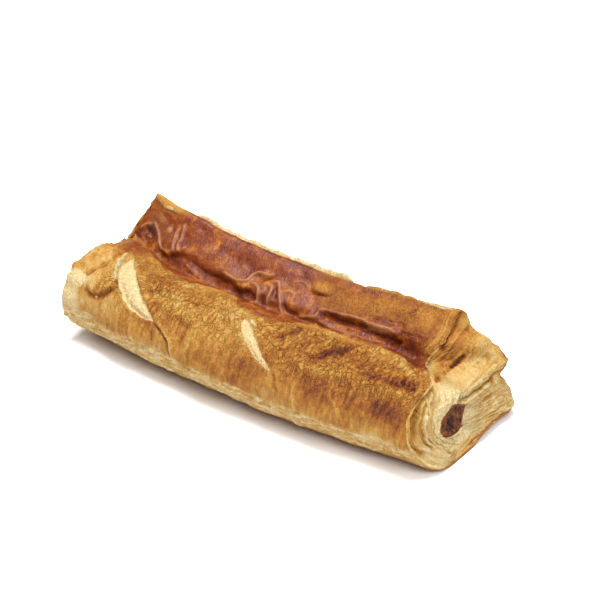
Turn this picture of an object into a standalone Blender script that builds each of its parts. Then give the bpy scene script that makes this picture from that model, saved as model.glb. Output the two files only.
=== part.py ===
"""Sausage roll: puff pastry folded round a thin filling, with a valley along the top and two slashes in the front.

Lengths are metres. X runs along the roll, Y from the front to the back and Z up. Sections are worked out with y
measured from the front ground line and x from the left end, then centred on the middle of its outline.
"""
import math

import bmesh
import bpy
import numpy as np
from mathutils import Vector
from mathutils.geometry import delaunay_2d_cdt

# Whole roll.
ROLL_LENGTH = 0.1655
ROLL_BOW = 0.0050
ROLL_UNEVEN = 0.0007
STATION_COUNT = 37
STATION_CROWDING = 0.06
POINTS_PER_SPAN = 2
MIDDLE_Y = 0.02246
MIDDLE_X = 0.08250
GROUND_FRONT_Y = 0.0115

# Front bulge, made by the folded side of the sheet.
BULGE_OUT = 0.0056
BULGE_HEIGHT = 0.0145
CROWN_Y = 0.0120
CROWN_HEIGHT = 0.0293
LUMP_HEIGHT = 0.0006

# Valley where the top panel meets the front bulge.
CREASE_Y = 0.0310
CREASE_LEFT_SHIFT = 0.0050
CREASE_RIGHT_SHIFT = 0.0010
CREASE_HEIGHT = 0.0246
CREASE_STEP = 0.0034

# Ridge at the back of the top panel.
RIDGE_Y = 0.0486
RIDGE_HEIGHT = 0.0354
RIDGE_LEFT_RISE = 0.0046
RIDGE_RIGHT_RISE = 0.0026
RIDGE_RISE_POWER = 2.2

# Two tongues of layers along the cut side at the back, with a notch between them.
UPPER_TONGUE_Y = 0.0555
UPPER_TONGUE_HEIGHT = 0.0206
NOTCH_Y = 0.0500
NOTCH_HEIGHT = 0.0150
NOTCH_FLARE = 0.0024
LOWER_TONGUE_Y = 0.0541
LOWER_TONGUE_HEIGHT = 0.0080
TONGUE_UNEVEN = 0.0008

# Right end. It leans back, and its top sheet stops short of the layers under it.
RIGHT_END_SLOPE = 0.37
VALLEY_END_STEP = 0.0145
VALLEY_END_WIDTH = 0.0115
RIDGE_END_STEP = 0.0060
FRONT_END_ROUND = 0.0030
TONGUE_END_OUT = 0.0024

# Left end.
LEFT_TIP_STEP = 0.0036
LEFT_FOOT_ROUND = 0.0075
LEFT_FOOT_HEIGHT = 0.0110

# Layers that show at both ends, as rings of ridges round the filling.
LAYER_RINGS = 5
LAYER_DEPTH = 0.0005
LAYER_POINT_GAP = 0.0012

# Filling, a flattened rod that runs the whole length.
FILLING_Y = 0.0180
FILLING_HEIGHT = 0.0142
FILLING_WIDTH = 0.0155
FILLING_THICKNESS = 0.0090
FILLING_TILT = math.radians(8.0)
FILLING_POINTS = 24
FILLING_STATIONS = 12
FILLING_GAP = 0.0003
FILLING_RECESS = 0.0006
FILLING_DOME = 0.0004

# Hollows in the skin: three places (along, corner number) that each one runs through, its width and its depth.
HOLLOWS = {
    "first_slash": (((0.085, 6.6), (0.19, 5.0), (0.295, 4.05)), 0.0046, 0.0022),
    "second_slash": (((0.487, 6.0), (0.585, 4.75), (0.672, 3.9)), 0.0030, 0.0018),
    "furrow": (((0.66, 9.9), (0.78, 9.6), (0.93, 9.3)), 0.0026, 0.0018),
    "blister": (((0.035, 10.3), (0.062, 10.2), (0.085, 9.6)), 0.0040, 0.0014),
    "mouth": (((0.020, 5.1), (0.060, 5.35), (0.115, 5.9)), 0.0024, 0.0030),
}

PASTRY_COLOUR = (0.62, 0.33, 0.10, 1.0)
PASTRY_ROUGHNESS = 0.62
FILLING_COLOUR = (0.13, 0.035, 0.018, 1.0)
FILLING_ROUGHNESS = 0.70


def smooth_step(low, high, value):
    """Return a soft 0 to 1 step between two values."""
    part = min(max((value - low) / (high - low), 0.0), 1.0)
    return part * part * (3.0 - 2.0 * part)


def bell(value, centre, width):
    """Return a bell of height 1 round a centre."""
    return math.exp(-(((value - centre) / width) ** 2))


def wave(value, seed):
    """Return a slow uneven wave between about -1 and 1."""
    first = math.sin(value * 9.7 + seed * 1.9)
    second = math.sin(value * 17.3 + seed * 3.1)
    third = math.sin(value * 31.1 + seed * 0.7)
    return 0.5 * first + 0.3 * second + 0.2 * third


def bow_shift(along):
    """Return how far a station is shifted by the bow of the roll, whose middle is nearest the front."""
    return -ROLL_BOW * (1.0 - (2.0 * along - 1.0) ** 2)


def ridge_height(along):
    """Return the height of the ridge, which rises toward both ends."""
    rise = RIDGE_LEFT_RISE if along < 0.5 else RIDGE_RIGHT_RISE
    return RIDGE_HEIGHT + rise * abs(2.0 * along - 1.0) ** RIDGE_RISE_POWER


def front_corners(front_y, crown_z):
    """Return the corners (y, z) of the front bulge, from the ground up to the crown."""
    return [
        (GROUND_FRONT_Y, 0.0),
        (0.30 * GROUND_FRONT_Y, 0.12 * BULGE_HEIGHT),
        (0.54 * front_y, 0.48 * BULGE_HEIGHT),
        (front_y, BULGE_HEIGHT),
        (0.42 * front_y, 0.79 * crown_z),
        (0.38 * CROWN_Y, 0.963 * crown_z),
        (CROWN_Y, crown_z),
        (CROWN_Y + 0.0080, 0.973 * crown_z),
    ]


def panel_corners(crease_y, crease_z, ridge_z):
    """Return the corners (y, z) of the valley and the top panel, up to the ridge."""
    panel_z = crease_z + CREASE_STEP
    return [
        (crease_y - 0.0035, crease_z + 0.0014),
        (crease_y, crease_z),
        (crease_y + 0.0028, panel_z),
        (0.5 * (crease_y + RIDGE_Y) + 0.0010, 0.55 * panel_z + 0.45 * ridge_z),
        (RIDGE_Y - 0.0012, ridge_z),
        (RIDGE_Y + 0.0014, ridge_z - 0.0008),
    ]


def back_corners(upper_y, notch_y, lower_y, ridge_z):
    """Return the corners (y, z) of the cut side at the back, from the ridge down to the ground."""
    shoulder_z = UPPER_TONGUE_HEIGHT + 0.0077
    return [
        (RIDGE_Y + 0.0022, 0.5 * (ridge_z + shoulder_z)),
        (upper_y - 0.0031, shoulder_z),
        (upper_y - 0.0010, UPPER_TONGUE_HEIGHT + 0.0036),
        (upper_y, UPPER_TONGUE_HEIGHT),
        (upper_y - 0.0018, NOTCH_HEIGHT + NOTCH_FLARE),
        (notch_y, NOTCH_HEIGHT),
        (lower_y - 0.0014, NOTCH_HEIGHT - NOTCH_FLARE),
        (lower_y, LOWER_TONGUE_HEIGHT),
        (lower_y - 0.0004, 0.42 * LOWER_TONGUE_HEIGHT),
        (lower_y - 0.0017, 0.10 * LOWER_TONGUE_HEIGHT),
        (lower_y - 0.0050, 0.0),
    ]


def section_corners(along):
    """Return the corners (y, z) of the section at a place along the roll, 0 at the left and 1 at the right."""
    uneven = ROLL_UNEVEN * wave(along, 1.0)
    dent = ROLL_UNEVEN * wave(along, 2.0)
    left_shift = CREASE_LEFT_SHIFT * (1.0 - smooth_step(0.0, 0.22, along))
    crease_y = CREASE_Y + left_shift + CREASE_RIGHT_SHIFT * smooth_step(0.6, 1.0, along)
    crease_z = CREASE_HEIGHT + 0.4 * dent
    ridge_z = ridge_height(along) + 0.5 * dent
    notch_y = NOTCH_Y + TONGUE_UNEVEN * wave(along, 3.0)
    upper_y = UPPER_TONGUE_Y + TONGUE_UNEVEN * wave(along, 4.0)
    lower_y = LOWER_TONGUE_Y + TONGUE_UNEVEN * wave(along, 5.0)
    corners = front_corners(-BULGE_OUT - uneven, CROWN_HEIGHT + uneven)
    corners += panel_corners(crease_y, crease_z, ridge_z)
    corners += back_corners(upper_y, notch_y, lower_y, ridge_z)
    foot = corners[-1][0]
    corners += [(foot + (GROUND_FRONT_Y - foot) * step / 4.0, 0.0) for step in (1, 2, 3)]
    return [np.array(corner) for corner in corners]


def curve_point(before, start, end, after, part):
    """Return a point on the smooth curve through four points, between the middle two."""
    square = part * part
    cube = square * part
    return 0.5 * (
        2.0 * start
        + (end - before) * part
        + (2.0 * before - 5.0 * start + 4.0 * end - after) * square
        + (3.0 * start - before - 3.0 * end + after) * cube
    )


def lump(along, key):
    """Return how far the front bulge swells outward at a place, uneven along and around."""
    around = smooth_step(0.8, 2.5, key) * smooth_step(9.0, 7.5, key)
    first = math.sin(along * 23.0 + key * 1.3)
    second = math.sin(along * 41.0 - key * 1.9 + 1.0)
    third = math.sin(along * 11.0 + key * 2.7 + 2.0)
    return LUMP_HEIGHT * around * (0.45 * first + 0.30 * second + 0.25 * third)


def section_point(along, key):
    """Return the point (y, z) of the section at a corner number, whole or between two corners."""
    corners = section_corners(along)
    count = len(corners)
    index = int(math.floor(key)) % count
    part = key - math.floor(key)
    nearby = [corners[(index + step) % count] for step in (-1, 0, 1, 2)]
    if max(nearby[1][1], nearby[2][1]) < 1e-9:
        point = nearby[1] * (1.0 - part) + nearby[2] * part
    else:
        point = curve_point(*nearby, part)
    outward = point - np.array((FILLING_Y, FILLING_HEIGHT))
    point = point + outward / np.linalg.norm(outward) * lump(along, key)
    return point[0] + bow_shift(along), max(point[1], 0.0)


def section_loop(along, per_span=POINTS_PER_SPAN):
    """Return the closed section at a place along the roll as an array of (y, z)."""
    count = len(section_corners(along)) * per_span
    return np.array([section_point(along, step / per_span) for step in range(count)])


def right_end_x(y, z):
    """Return where the right end stands for a point (y, z) of the section."""
    valley = VALLEY_END_STEP * bell(y, CREASE_Y, VALLEY_END_WIDTH) * smooth_step(0.0195, 0.0235, z)
    ridge = RIDGE_END_STEP * smooth_step(0.036, 0.046, y) * smooth_step(0.0275, 0.0310, z)
    front = FRONT_END_ROUND * smooth_step(0.006, -0.004, y)
    tongue = TONGUE_END_OUT * bell(z, UPPER_TONGUE_HEIGHT, 0.0045) * smooth_step(0.046, 0.054, y)
    return ROLL_LENGTH - RIGHT_END_SLOPE * z - valley - ridge - front + tongue


def left_end_x(y, z):
    """Return where the left end stands for a point (y, z) of the section."""
    tip = LEFT_TIP_STEP * smooth_step(0.028, 0.038, z)
    foot = LEFT_FOOT_ROUND * smooth_step(LEFT_FOOT_HEIGHT, 0.0, z)
    return tip + foot


def skin_point(along, y, z):
    """Return the 3-D point of a section point, centred on the middle of its outline."""
    left = left_end_x(y, z)
    right = right_end_x(y, z)
    return Vector((left + (right - left) * along - MIDDLE_X, y - MIDDLE_Y, z))


def make_material(name, colour, roughness):
    """Return a plain material with a colour, a roughness and no metal."""
    material = bpy.data.materials.new(name)
    material.use_nodes = True
    shader = material.node_tree.nodes["Principled BSDF"]
    shader.inputs["Base Color"].default_value = colour
    shader.inputs["Roughness"].default_value = roughness
    shader.inputs["Metallic"].default_value = 0.0
    material.diffuse_color = colour
    return material


def make_object(mesh, name, material, collection):
    """Put finished mesh data in a named object of a collection."""
    data = bpy.data.meshes.new(name)
    mesh.to_mesh(data)
    mesh.free()
    data.materials.append(material)
    item = bpy.data.objects.new(name, data)
    collection.objects.link(item)
    return item


def filling_loop(along, gap):
    """Return the pointed oval of the filling, or of its bore when a gap is given, as an array of (y, z)."""
    half_width = 0.5 * FILLING_WIDTH * (1.0 + 0.03 * wave(along, 6.0)) + gap
    half_height = 0.5 * FILLING_THICKNESS * (1.0 + 0.04 * wave(along, 7.0)) + gap
    centre_y = FILLING_Y + bow_shift(along)
    loop = []
    for step in range(FILLING_POINTS):
        angle = math.tau * step / FILLING_POINTS
        flat = half_width * math.cos(angle)
        high = half_height * math.sin(angle) * abs(math.sin(angle)) ** 0.25
        y = flat * math.cos(FILLING_TILT) - high * math.sin(FILLING_TILT)
        z = flat * math.sin(FILLING_TILT) + high * math.cos(FILLING_TILT)
        loop.append((centre_y + y, FILLING_HEIGHT + z))
    return np.array(loop)


def add_tube(mesh, rings):
    """Join rings of points with a loft and return the rings of vertices."""
    layers = [[mesh.verts.new(point) for point in ring] for ring in rings]
    for near, far in zip(layers, layers[1:]):
        count = len(near)
        for index in range(count):
            after = (index + 1) % count
            mesh.faces.new((near[index], near[after], far[after], far[index]))
    return layers


def inside_loop(point, loop):
    """Tell whether a point (y, z) is inside a closed loop."""
    inside = False
    previous = loop[-1]
    for corner in loop:
        if (corner[1] > point[1]) != (previous[1] > point[1]):
            rate = (point[1] - previous[1]) / (corner[1] - previous[1])
            if point[0] < previous[0] + rate * (corner[0] - previous[0]):
                inside = not inside
        previous = corner
    return inside


def nearest(point, others):
    """Return the distance from a point (y, z) to the nearest of some others."""
    return float(np.min(np.hypot(others[:, 0] - point[0], others[:, 1] - point[1])))


def layer_points(outer, bore):
    """Return the points (y, z, ridge) of the layers that show between the bore and the skin at an end."""
    outer_angles = np.arctan2(outer[:, 1] - FILLING_HEIGHT, outer[:, 0] - FILLING_Y)
    bore_angles = np.arctan2(bore[:, 1] - FILLING_HEIGHT, bore[:, 0] - FILLING_Y)
    order = np.argsort(bore_angles)
    points = []
    for ring in range(LAYER_RINGS):
        part = (ring + 1) / (LAYER_RINGS + 1)
        for corner, angle in zip(outer, outer_angles):
            y = np.interp(angle, bore_angles[order], bore[order, 0], period=math.tau)
            z = np.interp(angle, bore_angles[order], bore[order, 1], period=math.tau)
            point = np.array((y, z)) * (1.0 - part) + corner * part
            points.append((point[0], point[1], 1.0 if ring % 2 else -1.0))
    return points


def add_end(mesh, outer_verts, bore_verts, end_x, side):
    """Close one end with a face of layers between the skin and the bore; side is 1 at the right and -1 at the left."""
    shift = Vector((MIDDLE_X, MIDDLE_Y, 0.0))
    outer = np.array([(vert.co + shift)[1:] for vert in outer_verts])
    bore = np.array([(vert.co + shift)[1:] for vert in bore_verts])
    taken = [tuple(point) for point in outer] + [tuple(point) for point in bore]
    verts = list(outer_verts) + list(bore_verts)
    for y, z, ridge in layer_points(outer, bore):
        point = np.array((y, z))
        if not inside_loop(point, outer) or inside_loop(point, bore):
            continue
        if nearest(point, np.array(taken)) < LAYER_POINT_GAP:
            continue
        taken.append((y, z))
        x = end_x(y, z) + side * LAYER_DEPTH * ridge
        verts.append(mesh.verts.new(Vector((x, y, z)) - shift))
    rim = len(outer)
    hole = len(bore)
    edges = [(index, (index + 1) % rim) for index in range(rim)]
    edges += [(rim + index, rim + (index + 1) % hole) for index in range(hole)]
    result = delaunay_2d_cdt([Vector(point) for point in taken], edges, [], 0, 1e-9)
    points, faces, sources = result[0], result[2], result[3]
    for face in faces:
        middle = sum((points[index] for index in face), Vector((0.0, 0.0))) / len(face)
        if inside_loop(middle, outer) and not inside_loop(middle, bore):
            mesh.faces.new([verts[sources[index][0]] for index in face])


def station_places():
    """Return the stations along the roll, closer together toward the two ends."""
    places = []
    for step in range(STATION_COUNT):
        part = step / (STATION_COUNT - 1)
        places.append(part - STATION_CROWDING * math.sin(math.tau * part))
    return places


def build_pastry(collection, material):
    """Build the folded pastry with its bore and its layered ends."""
    mesh = bmesh.new()
    skins = []
    for along in station_places():
        skins.append([skin_point(along, y, z) for y, z in section_loop(along)])
    bores = []
    for step in range(FILLING_STATIONS):
        along = step / (FILLING_STATIONS - 1)
        bores.append([skin_point(along, y, z) for y, z in filling_loop(along, FILLING_GAP)])
    skin = add_tube(mesh, skins)
    bore = add_tube(mesh, bores)
    add_end(mesh, skin[0], bore[0], left_end_x, -1.0)
    add_end(mesh, skin[-1], bore[-1], right_end_x, 1.0)
    bmesh.ops.recalc_face_normals(mesh, faces=mesh.faces)
    return make_object(mesh, "pastry", material, collection)


def build_filling(collection, material):
    """Build the filling as one rod, set in a little from both ends."""
    mesh = bmesh.new()
    rings = []
    for step in range(FILLING_STATIONS):
        along = step / (FILLING_STATIONS - 1)
        inset = Vector((FILLING_RECESS * (1.0 - 2.0 * along), 0.0, 0.0))
        rings.append([skin_point(along, y, z) + inset for y, z in filling_loop(along, 0.0)])
    layers = add_tube(mesh, rings)
    caps = [mesh.faces.new(layers[0]), mesh.faces.new(layers[-1])]
    poked = bmesh.ops.poke(mesh, faces=caps)
    for vert in poked["verts"]:
        vert.co.x += math.copysign(FILLING_DOME, vert.co.x)
    bmesh.ops.recalc_face_normals(mesh, faces=mesh.faces)
    return make_object(mesh, "filling", material, collection)


def skin_place(along, key):
    """Return the point on the skin at a place (along, corner number) and its outward direction."""
    here = skin_point(along, *section_point(along, key))
    ahead = skin_point(along + 0.01, *section_point(along + 0.01, key))
    beside = skin_point(along, *section_point(along, key + 0.1))
    return here, (beside - here).cross(ahead - here).normalized()


def cut_hollow(pastry, name, places, width, depth, collection):
    """Cut one leaf shaped hollow into the skin along three places on it."""
    mesh = bmesh.new()
    bmesh.ops.create_uvsphere(mesh, u_segments=10, v_segments=9, radius=1.0)
    (first, first_out), (middle, middle_out), (last, last_out) = [skin_place(*place) for place in places]
    bend = middle * 2.0 - (first + last) * 0.5
    for vert in mesh.verts:
        across, deep, run = vert.co
        part = 0.5 * (1.0 + run)
        spine = first * (1.0 - part) ** 2 + bend * 2.0 * part * (1.0 - part) + last * part**2
        heading = ((bend - first) * (1.0 - part) + (last - bend) * part).normalized()
        outward = (first_out * (1.0 - part) + middle_out + last_out * part).normalized()
        sideways = heading.cross(outward).normalized()
        vert.co = spine + sideways * across * 0.5 * width + outward * deep * depth
    if mesh.calc_volume(signed=True) < 0.0:
        bmesh.ops.reverse_faces(mesh, faces=mesh.faces)
    cutter = make_object(mesh, "cut_" + name, pastry.data.materials[0], collection)
    cutter.display_type = "WIRE"
    cutter.hide_render = True
    modifier = pastry.modifiers.new("cut_" + name, "BOOLEAN")
    modifier.operation = "DIFFERENCE"
    modifier.solver = "EXACT"
    modifier.object = cutter


def main():
    """Build the whole roll."""
    for item in list(bpy.data.objects):
        bpy.data.objects.remove(item, do_unlink=True)
    scene = bpy.context.scene
    roll = bpy.data.collections.new("sausage_roll")
    cutters = bpy.data.collections.new("cutters")
    scene.collection.children.link(roll)
    scene.collection.children.link(cutters)
    pastry = build_pastry(roll, make_material("pastry", PASTRY_COLOUR, PASTRY_ROUGHNESS))
    build_filling(roll, make_material("filling", FILLING_COLOUR, FILLING_ROUGHNESS))
    for name, (places, width, depth) in HOLLOWS.items():
        cut_hollow(pastry, name, places, width, depth, cutters)


main()
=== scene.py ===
"""Dressing of a baked sausage roll: flaky crust with a glazed valley, layered open ends, minced filling and flakes."""

import itertools
import logging
import math
from dataclasses import dataclass, field
from enum import Enum

import bmesh
import bpy
import numpy as np
from mathutils import Matrix, Vector
from mathutils.bvhtree import BVHTree


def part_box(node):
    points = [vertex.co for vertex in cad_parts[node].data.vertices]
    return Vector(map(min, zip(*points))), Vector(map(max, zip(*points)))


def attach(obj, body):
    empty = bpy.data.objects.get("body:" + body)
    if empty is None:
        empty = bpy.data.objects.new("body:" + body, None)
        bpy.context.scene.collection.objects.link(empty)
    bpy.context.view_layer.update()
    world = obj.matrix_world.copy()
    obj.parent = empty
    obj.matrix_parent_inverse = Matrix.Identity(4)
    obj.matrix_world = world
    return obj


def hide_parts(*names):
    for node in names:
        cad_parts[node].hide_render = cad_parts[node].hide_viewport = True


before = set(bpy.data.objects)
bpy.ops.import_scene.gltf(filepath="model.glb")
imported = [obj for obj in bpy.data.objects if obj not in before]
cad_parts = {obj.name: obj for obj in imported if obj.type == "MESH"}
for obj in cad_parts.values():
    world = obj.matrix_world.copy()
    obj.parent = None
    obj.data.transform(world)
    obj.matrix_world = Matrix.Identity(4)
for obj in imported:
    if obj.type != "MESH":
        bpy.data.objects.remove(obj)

LOG = logging.getLogger("sausage_roll")
MM = 0.001
FOOD_SHARE = 0.66
Array = np.ndarray
Socket = bpy.types.NodeSocket
Path = tuple[tuple[float, float], ...]


class Side(Enum):
    """The two open ends of the roll."""

    LEFT = -1
    RIGHT = 1


def step(low: float, high: float, value: Array) -> Array:
    """Return a soft 0 to 1 step between two values, falling where low is above high."""
    part = np.clip((value - low) / (high - low), 0.0, 1.0)
    return part * part * (3.0 - 2.0 * part)


def bell(value: Array, centre: float | Array, width: float | Array) -> Array:
    """Return a bell of height 1 round a centre."""
    return np.exp(-(((value - centre) / width) ** 2))


def window(value: Array, low: float, high: float, soft: float) -> Array:
    """Return 1 between two values and 0 outside them, with soft edges."""
    return step(low - soft, low + soft, value) * step(high + soft, high - soft, value)


def blob(x: Array, g: Array, centre: tuple[float, float], reach: tuple[float, float]) -> Array:
    """Return a soft round spot of height 1 on the chart."""
    far = ((x - centre[0]) / reach[0]) ** 2 + ((g - centre[1]) / reach[1]) ** 2
    return np.exp(-0.5 * far - 0.5 * far**2)


def path_distance(x: Array, g: Array, path: Path) -> tuple[Array, Array, Array]:
    """Measure points against a path of straight runs.

    Args:
        x: First coordinate of the points.
        g: Second coordinate of the points.
        path: Corners of the path, in order.

    Returns:
        The distance to the path, the share of its length at the nearest place, and the side, 1 or -1.
    """
    corners = np.array(path, dtype=float)
    runs = np.diff(corners, axis=0)
    lengths = np.hypot(runs[:, 0], runs[:, 1])
    before = np.concatenate([[0.0], np.cumsum(lengths)])
    best = np.full(x.shape, np.inf)
    share = np.zeros(x.shape)
    side = np.ones(x.shape)
    for corner, run, length, start in zip(corners, runs, lengths, before):
        part = np.clip(((x - corner[0]) * run[0] + (g - corner[1]) * run[1]) / length**2, 0.0, 1.0)
        off_x = x - corner[0] - part * run[0]
        off_g = g - corner[1] - part * run[1]
        distance = np.hypot(off_x, off_g)
        closer = distance < best
        best = np.where(closer, distance, best)
        share = np.where(closer, (start + part * length) / before[-1], share)
        side = np.where(closer, np.sign(run[0] * off_g - run[1] * off_x), side)
    return best, share, side


class Grain:
    """Seeded noise that is read at any points, so the same dough always comes out."""

    def __init__(self, seed: int) -> None:
        """Shuffle the lattice for a seed."""
        source = np.random.default_rng(seed)
        self.order = source.permutation(256)
        arrows = source.normal(size=(256, 3))
        self.arrows = arrows / np.linalg.norm(arrows, axis=1, keepdims=True)
        self.spots = source.random((256, 3))

    def _pick(self, cell: Array) -> Array:
        """Return the shuffled number of a lattice cell."""
        first = self.order[cell[..., 0] & 255]
        second = self.order[(first + cell[..., 1]) & 255]
        return self.order[(second + cell[..., 2]) & 255]

    def value(self, points: Array) -> Array:
        """Return smooth noise between about -1 and 1."""
        base = np.floor(points).astype(int)
        part = points - base
        fade = part**3 * (part * (part * 6.0 - 15.0) + 10.0)
        total = np.zeros(points.shape[:-1])
        for corner in itertools.product((0, 1), repeat=3):
            offset = np.array(corner)
            arrow = self.arrows[self._pick(base + offset)]
            weight = np.prod(np.where(offset == 1, fade, 1.0 - fade), axis=-1)
            total += weight * np.sum(arrow * (part - offset), axis=-1)
        return 1.6 * total

    def cloud(self, points: Array, octaves: int = 4, gain: float = 0.5) -> Array:
        """Return noise with finer and finer detail, between about -1 and 1."""
        total = np.zeros(points.shape[:-1])
        size = 1.0
        for octave in range(octaves):
            total += size * self.value(points * 2.0**octave + 7.3 * octave)
            size *= gain
        return total

    def ridges(self, points: Array, octaves: int = 3) -> Array:
        """Return thin raised lines between 0 and 1, as creases in a skin."""
        total = np.zeros(points.shape[:-1])
        size = 0.5
        for octave in range(octaves):
            total += size * (1.0 - np.abs(self.value(points * 2.0**octave + 3.1 * octave))) ** 3
            size *= 0.5
        return total / (1.0 - 0.5**octaves)

    def cells(self, points: Array) -> tuple[Array, Array]:
        """Return the distances to the nearest and the second nearest of scattered spots."""
        base = np.floor(points).astype(int)
        near = np.full(points.shape[:-1], 9.0)
        second = np.full(points.shape[:-1], 9.0)
        for corner in itertools.product((-1, 0, 1), repeat=3):
            cell = base + np.array(corner)
            spot = cell + self.spots[self._pick(cell)]
            distance = np.linalg.norm(points - spot, axis=-1)
            second = np.minimum(second, np.maximum(near, distance))
            near = np.minimum(near, distance)
        return near, second


def at(x: Array, g: Array, across: float, around: float, slice_at: float = 0.0) -> Array:
    """Stack chart places as noise points, with one noise cell measuring across by around."""
    return np.stack([x / across, g / around, np.full(x.shape, slice_at)], axis=-1)


@dataclass(frozen=True)
class RollForm:
    """True form of the roll, in millimetres from the left end and the front ground line.

    The section runs from the ground at the front, over the bulge, the valley and the ridge, down the cut side at the
    back with its two tongues, and along the ground. A place on it is (along, key): the share of the length, and the
    number of a corner of the section, whole or between two corners.
    """

    length: float = 165.5
    outline_length: float = 166.0
    middle_x: float = 82.5
    middle_y: float = 22.46
    bow: float = 5.0
    uneven: float = 0.7
    ground_front_y: float = 11.5
    bulge_out: float = 5.6
    bulge_height: float = 14.5
    crown_y: float = 12.0
    crown_height: float = 29.3
    lump_height: float = 0.6
    crease_y: float = 31.0
    crease_left_shift: float = 5.0
    crease_right_shift: float = 1.0
    crease_height: float = 24.6
    crease_step: float = 3.4
    ridge_y: float = 48.6
    ridge_height: float = 35.4
    ridge_left_rise: float = 4.6
    ridge_right_rise: float = 2.6
    upper_tongue_y: float = 55.5
    upper_tongue_height: float = 20.6
    notch_y: float = 50.0
    notch_height: float = 15.0
    notch_flare: float = 2.4
    lower_tongue_y: float = 54.1
    lower_tongue_height: float = 8.0
    tongue_uneven: float = 0.8
    end_slope: float = 0.37
    valley_end_step: float = 14.5
    valley_end_width: float = 11.5
    ridge_end_step: float = 6.0
    front_end_round: float = 3.0
    tongue_end_out: float = 2.4
    left_tip_step: float = 3.6
    left_foot_round: float = 7.5
    left_foot_height: float = 11.0
    filling_y: float = 18.0
    filling_height: float = 14.2
    oval_y: float = 19.1
    oval_height: float = 12.9
    filling_width: float = 16.6
    filling_thickness: float = 8.6
    filling_tilt: float = math.radians(9.0)
    filling_recess: float = 0.6
    last_corner: int = 27

    @staticmethod
    def wave(value: Array, seed: float) -> Array:
        """Return a slow uneven wave between about -1 and 1."""
        first = np.sin(value * 9.7 + seed * 1.9)
        second = np.sin(value * 17.3 + seed * 3.1)
        third = np.sin(value * 31.1 + seed * 0.7)
        return 0.5 * first + 0.3 * second + 0.2 * third

    def bow_shift(self, along: Array) -> Array:
        """Return how far a station is shifted by the bow of the roll."""
        return -self.bow * (1.0 - (2.0 * along - 1.0) ** 2)

    def corners(self, along: Array) -> Array:
        """Return the corners of the sections.

        Args:
            along: Shares of the length, one for each section.

        Returns:
            An array of corners by sections by (y, z).
        """
        uneven = self.uneven * self.wave(along, 1.0)
        dent = self.uneven * self.wave(along, 2.0)
        left_shift = self.crease_left_shift * (1.0 - step(0.0, 0.22, along))
        crease_y = self.crease_y + left_shift + self.crease_right_shift * step(0.6, 1.0, along)
        crease_z = self.crease_height + 0.4 * dent
        rise = np.where(along < 0.5, self.ridge_left_rise, self.ridge_right_rise)
        ridge_z = self.ridge_height + rise * np.abs(2.0 * along - 1.0) ** 2.2 + 0.5 * dent
        notch_y = self.notch_y + self.tongue_uneven * self.wave(along, 3.0)
        upper_y = self.upper_tongue_y + self.tongue_uneven * self.wave(along, 4.0)
        lower_y = self.lower_tongue_y + self.tongue_uneven * self.wave(along, 5.0)
        front_y = -self.bulge_out - uneven
        crown_z = self.crown_height + uneven
        panel_z = crease_z + self.crease_step
        shoulder_z = self.upper_tongue_height + 7.7
        foot = lower_y - 5.0
        corners = [
            (self.ground_front_y, 0.0),
            (0.30 * self.ground_front_y, 0.12 * self.bulge_height),
            (0.54 * front_y, 0.48 * self.bulge_height),
            (front_y, self.bulge_height),
            (0.42 * front_y, 0.79 * crown_z),
            (0.38 * self.crown_y, 0.963 * crown_z),
            (self.crown_y, crown_z),
            (self.crown_y + 8.0, 0.973 * crown_z),
            (crease_y - 3.5, crease_z + 1.4),
            (crease_y, crease_z),
            (crease_y + 2.8, panel_z),
            (0.5 * (crease_y + self.ridge_y) + 1.0, 0.55 * panel_z + 0.45 * ridge_z),
            (self.ridge_y - 1.2, ridge_z),
            (self.ridge_y + 1.4, ridge_z - 0.8),
            (self.ridge_y + 2.2, 0.5 * (ridge_z + shoulder_z)),
            (upper_y - 3.1, shoulder_z),
            (upper_y - 1.0, self.upper_tongue_height + 3.6),
            (upper_y, self.upper_tongue_height),
            (upper_y - 1.8, self.notch_height + self.notch_flare),
            (notch_y, self.notch_height),
            (lower_y - 1.4, self.notch_height - self.notch_flare),
            (lower_y, self.lower_tongue_height),
            (lower_y - 0.4, 0.42 * self.lower_tongue_height),
            (lower_y - 1.7, 0.10 * self.lower_tongue_height),
            (foot, 0.0),
        ]
        corners += [(foot + (self.ground_front_y - foot) * part, 0.0) for part in (0.25, 0.5, 0.75)]
        ones = np.ones_like(along)
        return np.array([(y * ones, z * ones) for y, z in corners[: self.last_corner + 1]]).transpose(0, 2, 1)

    def lump(self, along: Array, key: Array) -> Array:
        """Return how far the front bulge swells outward at a place."""
        around = step(0.8, 2.5, key) * step(9.0, 7.5, key)
        first = np.sin(along * 23.0 + key * 1.3)
        second = np.sin(along * 41.0 - key * 1.9 + 1.0)
        third = np.sin(along * 11.0 + key * 2.7 + 2.0)
        return self.lump_height * around * (0.45 * first + 0.30 * second + 0.25 * third)

    def section(self, along: Array, keys: Array) -> Array:
        """Return section points.

        Args:
            along: Shares of the length, one for each section.
            keys: Corner numbers, one for each point of a section.

        Returns:
            An array of sections by points by (y, z).
        """
        corners = self.corners(along)
        count = len(corners)
        index = np.floor(keys).astype(int)
        part = (keys - index)[None, :, None]
        before, start, end, after = [corners[(index + shift) % count].transpose(1, 0, 2) for shift in (-1, 0, 1, 2)]
        bend = 2.0 * before - 5.0 * start + 4.0 * end - after
        twist = 3.0 * start - before - 3.0 * end + after
        curved = 0.5 * (2.0 * start + (end - before) * part + bend * part**2 + twist * part**3)
        flat = (np.maximum(start[..., 1], end[..., 1]) < 1e-6)[..., None]
        points = np.where(flat, start * (1.0 - part) + end * part, curved)
        outward = points - np.array((self.filling_y, self.filling_height))
        outward /= np.linalg.norm(outward, axis=-1, keepdims=True)
        points = points + outward * self.lump(along[:, None], keys[None, :])[..., None]
        points[..., 0] += self.bow_shift(along)[:, None]
        points[..., 1] = np.maximum(points[..., 1], 0.0)
        return points

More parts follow.
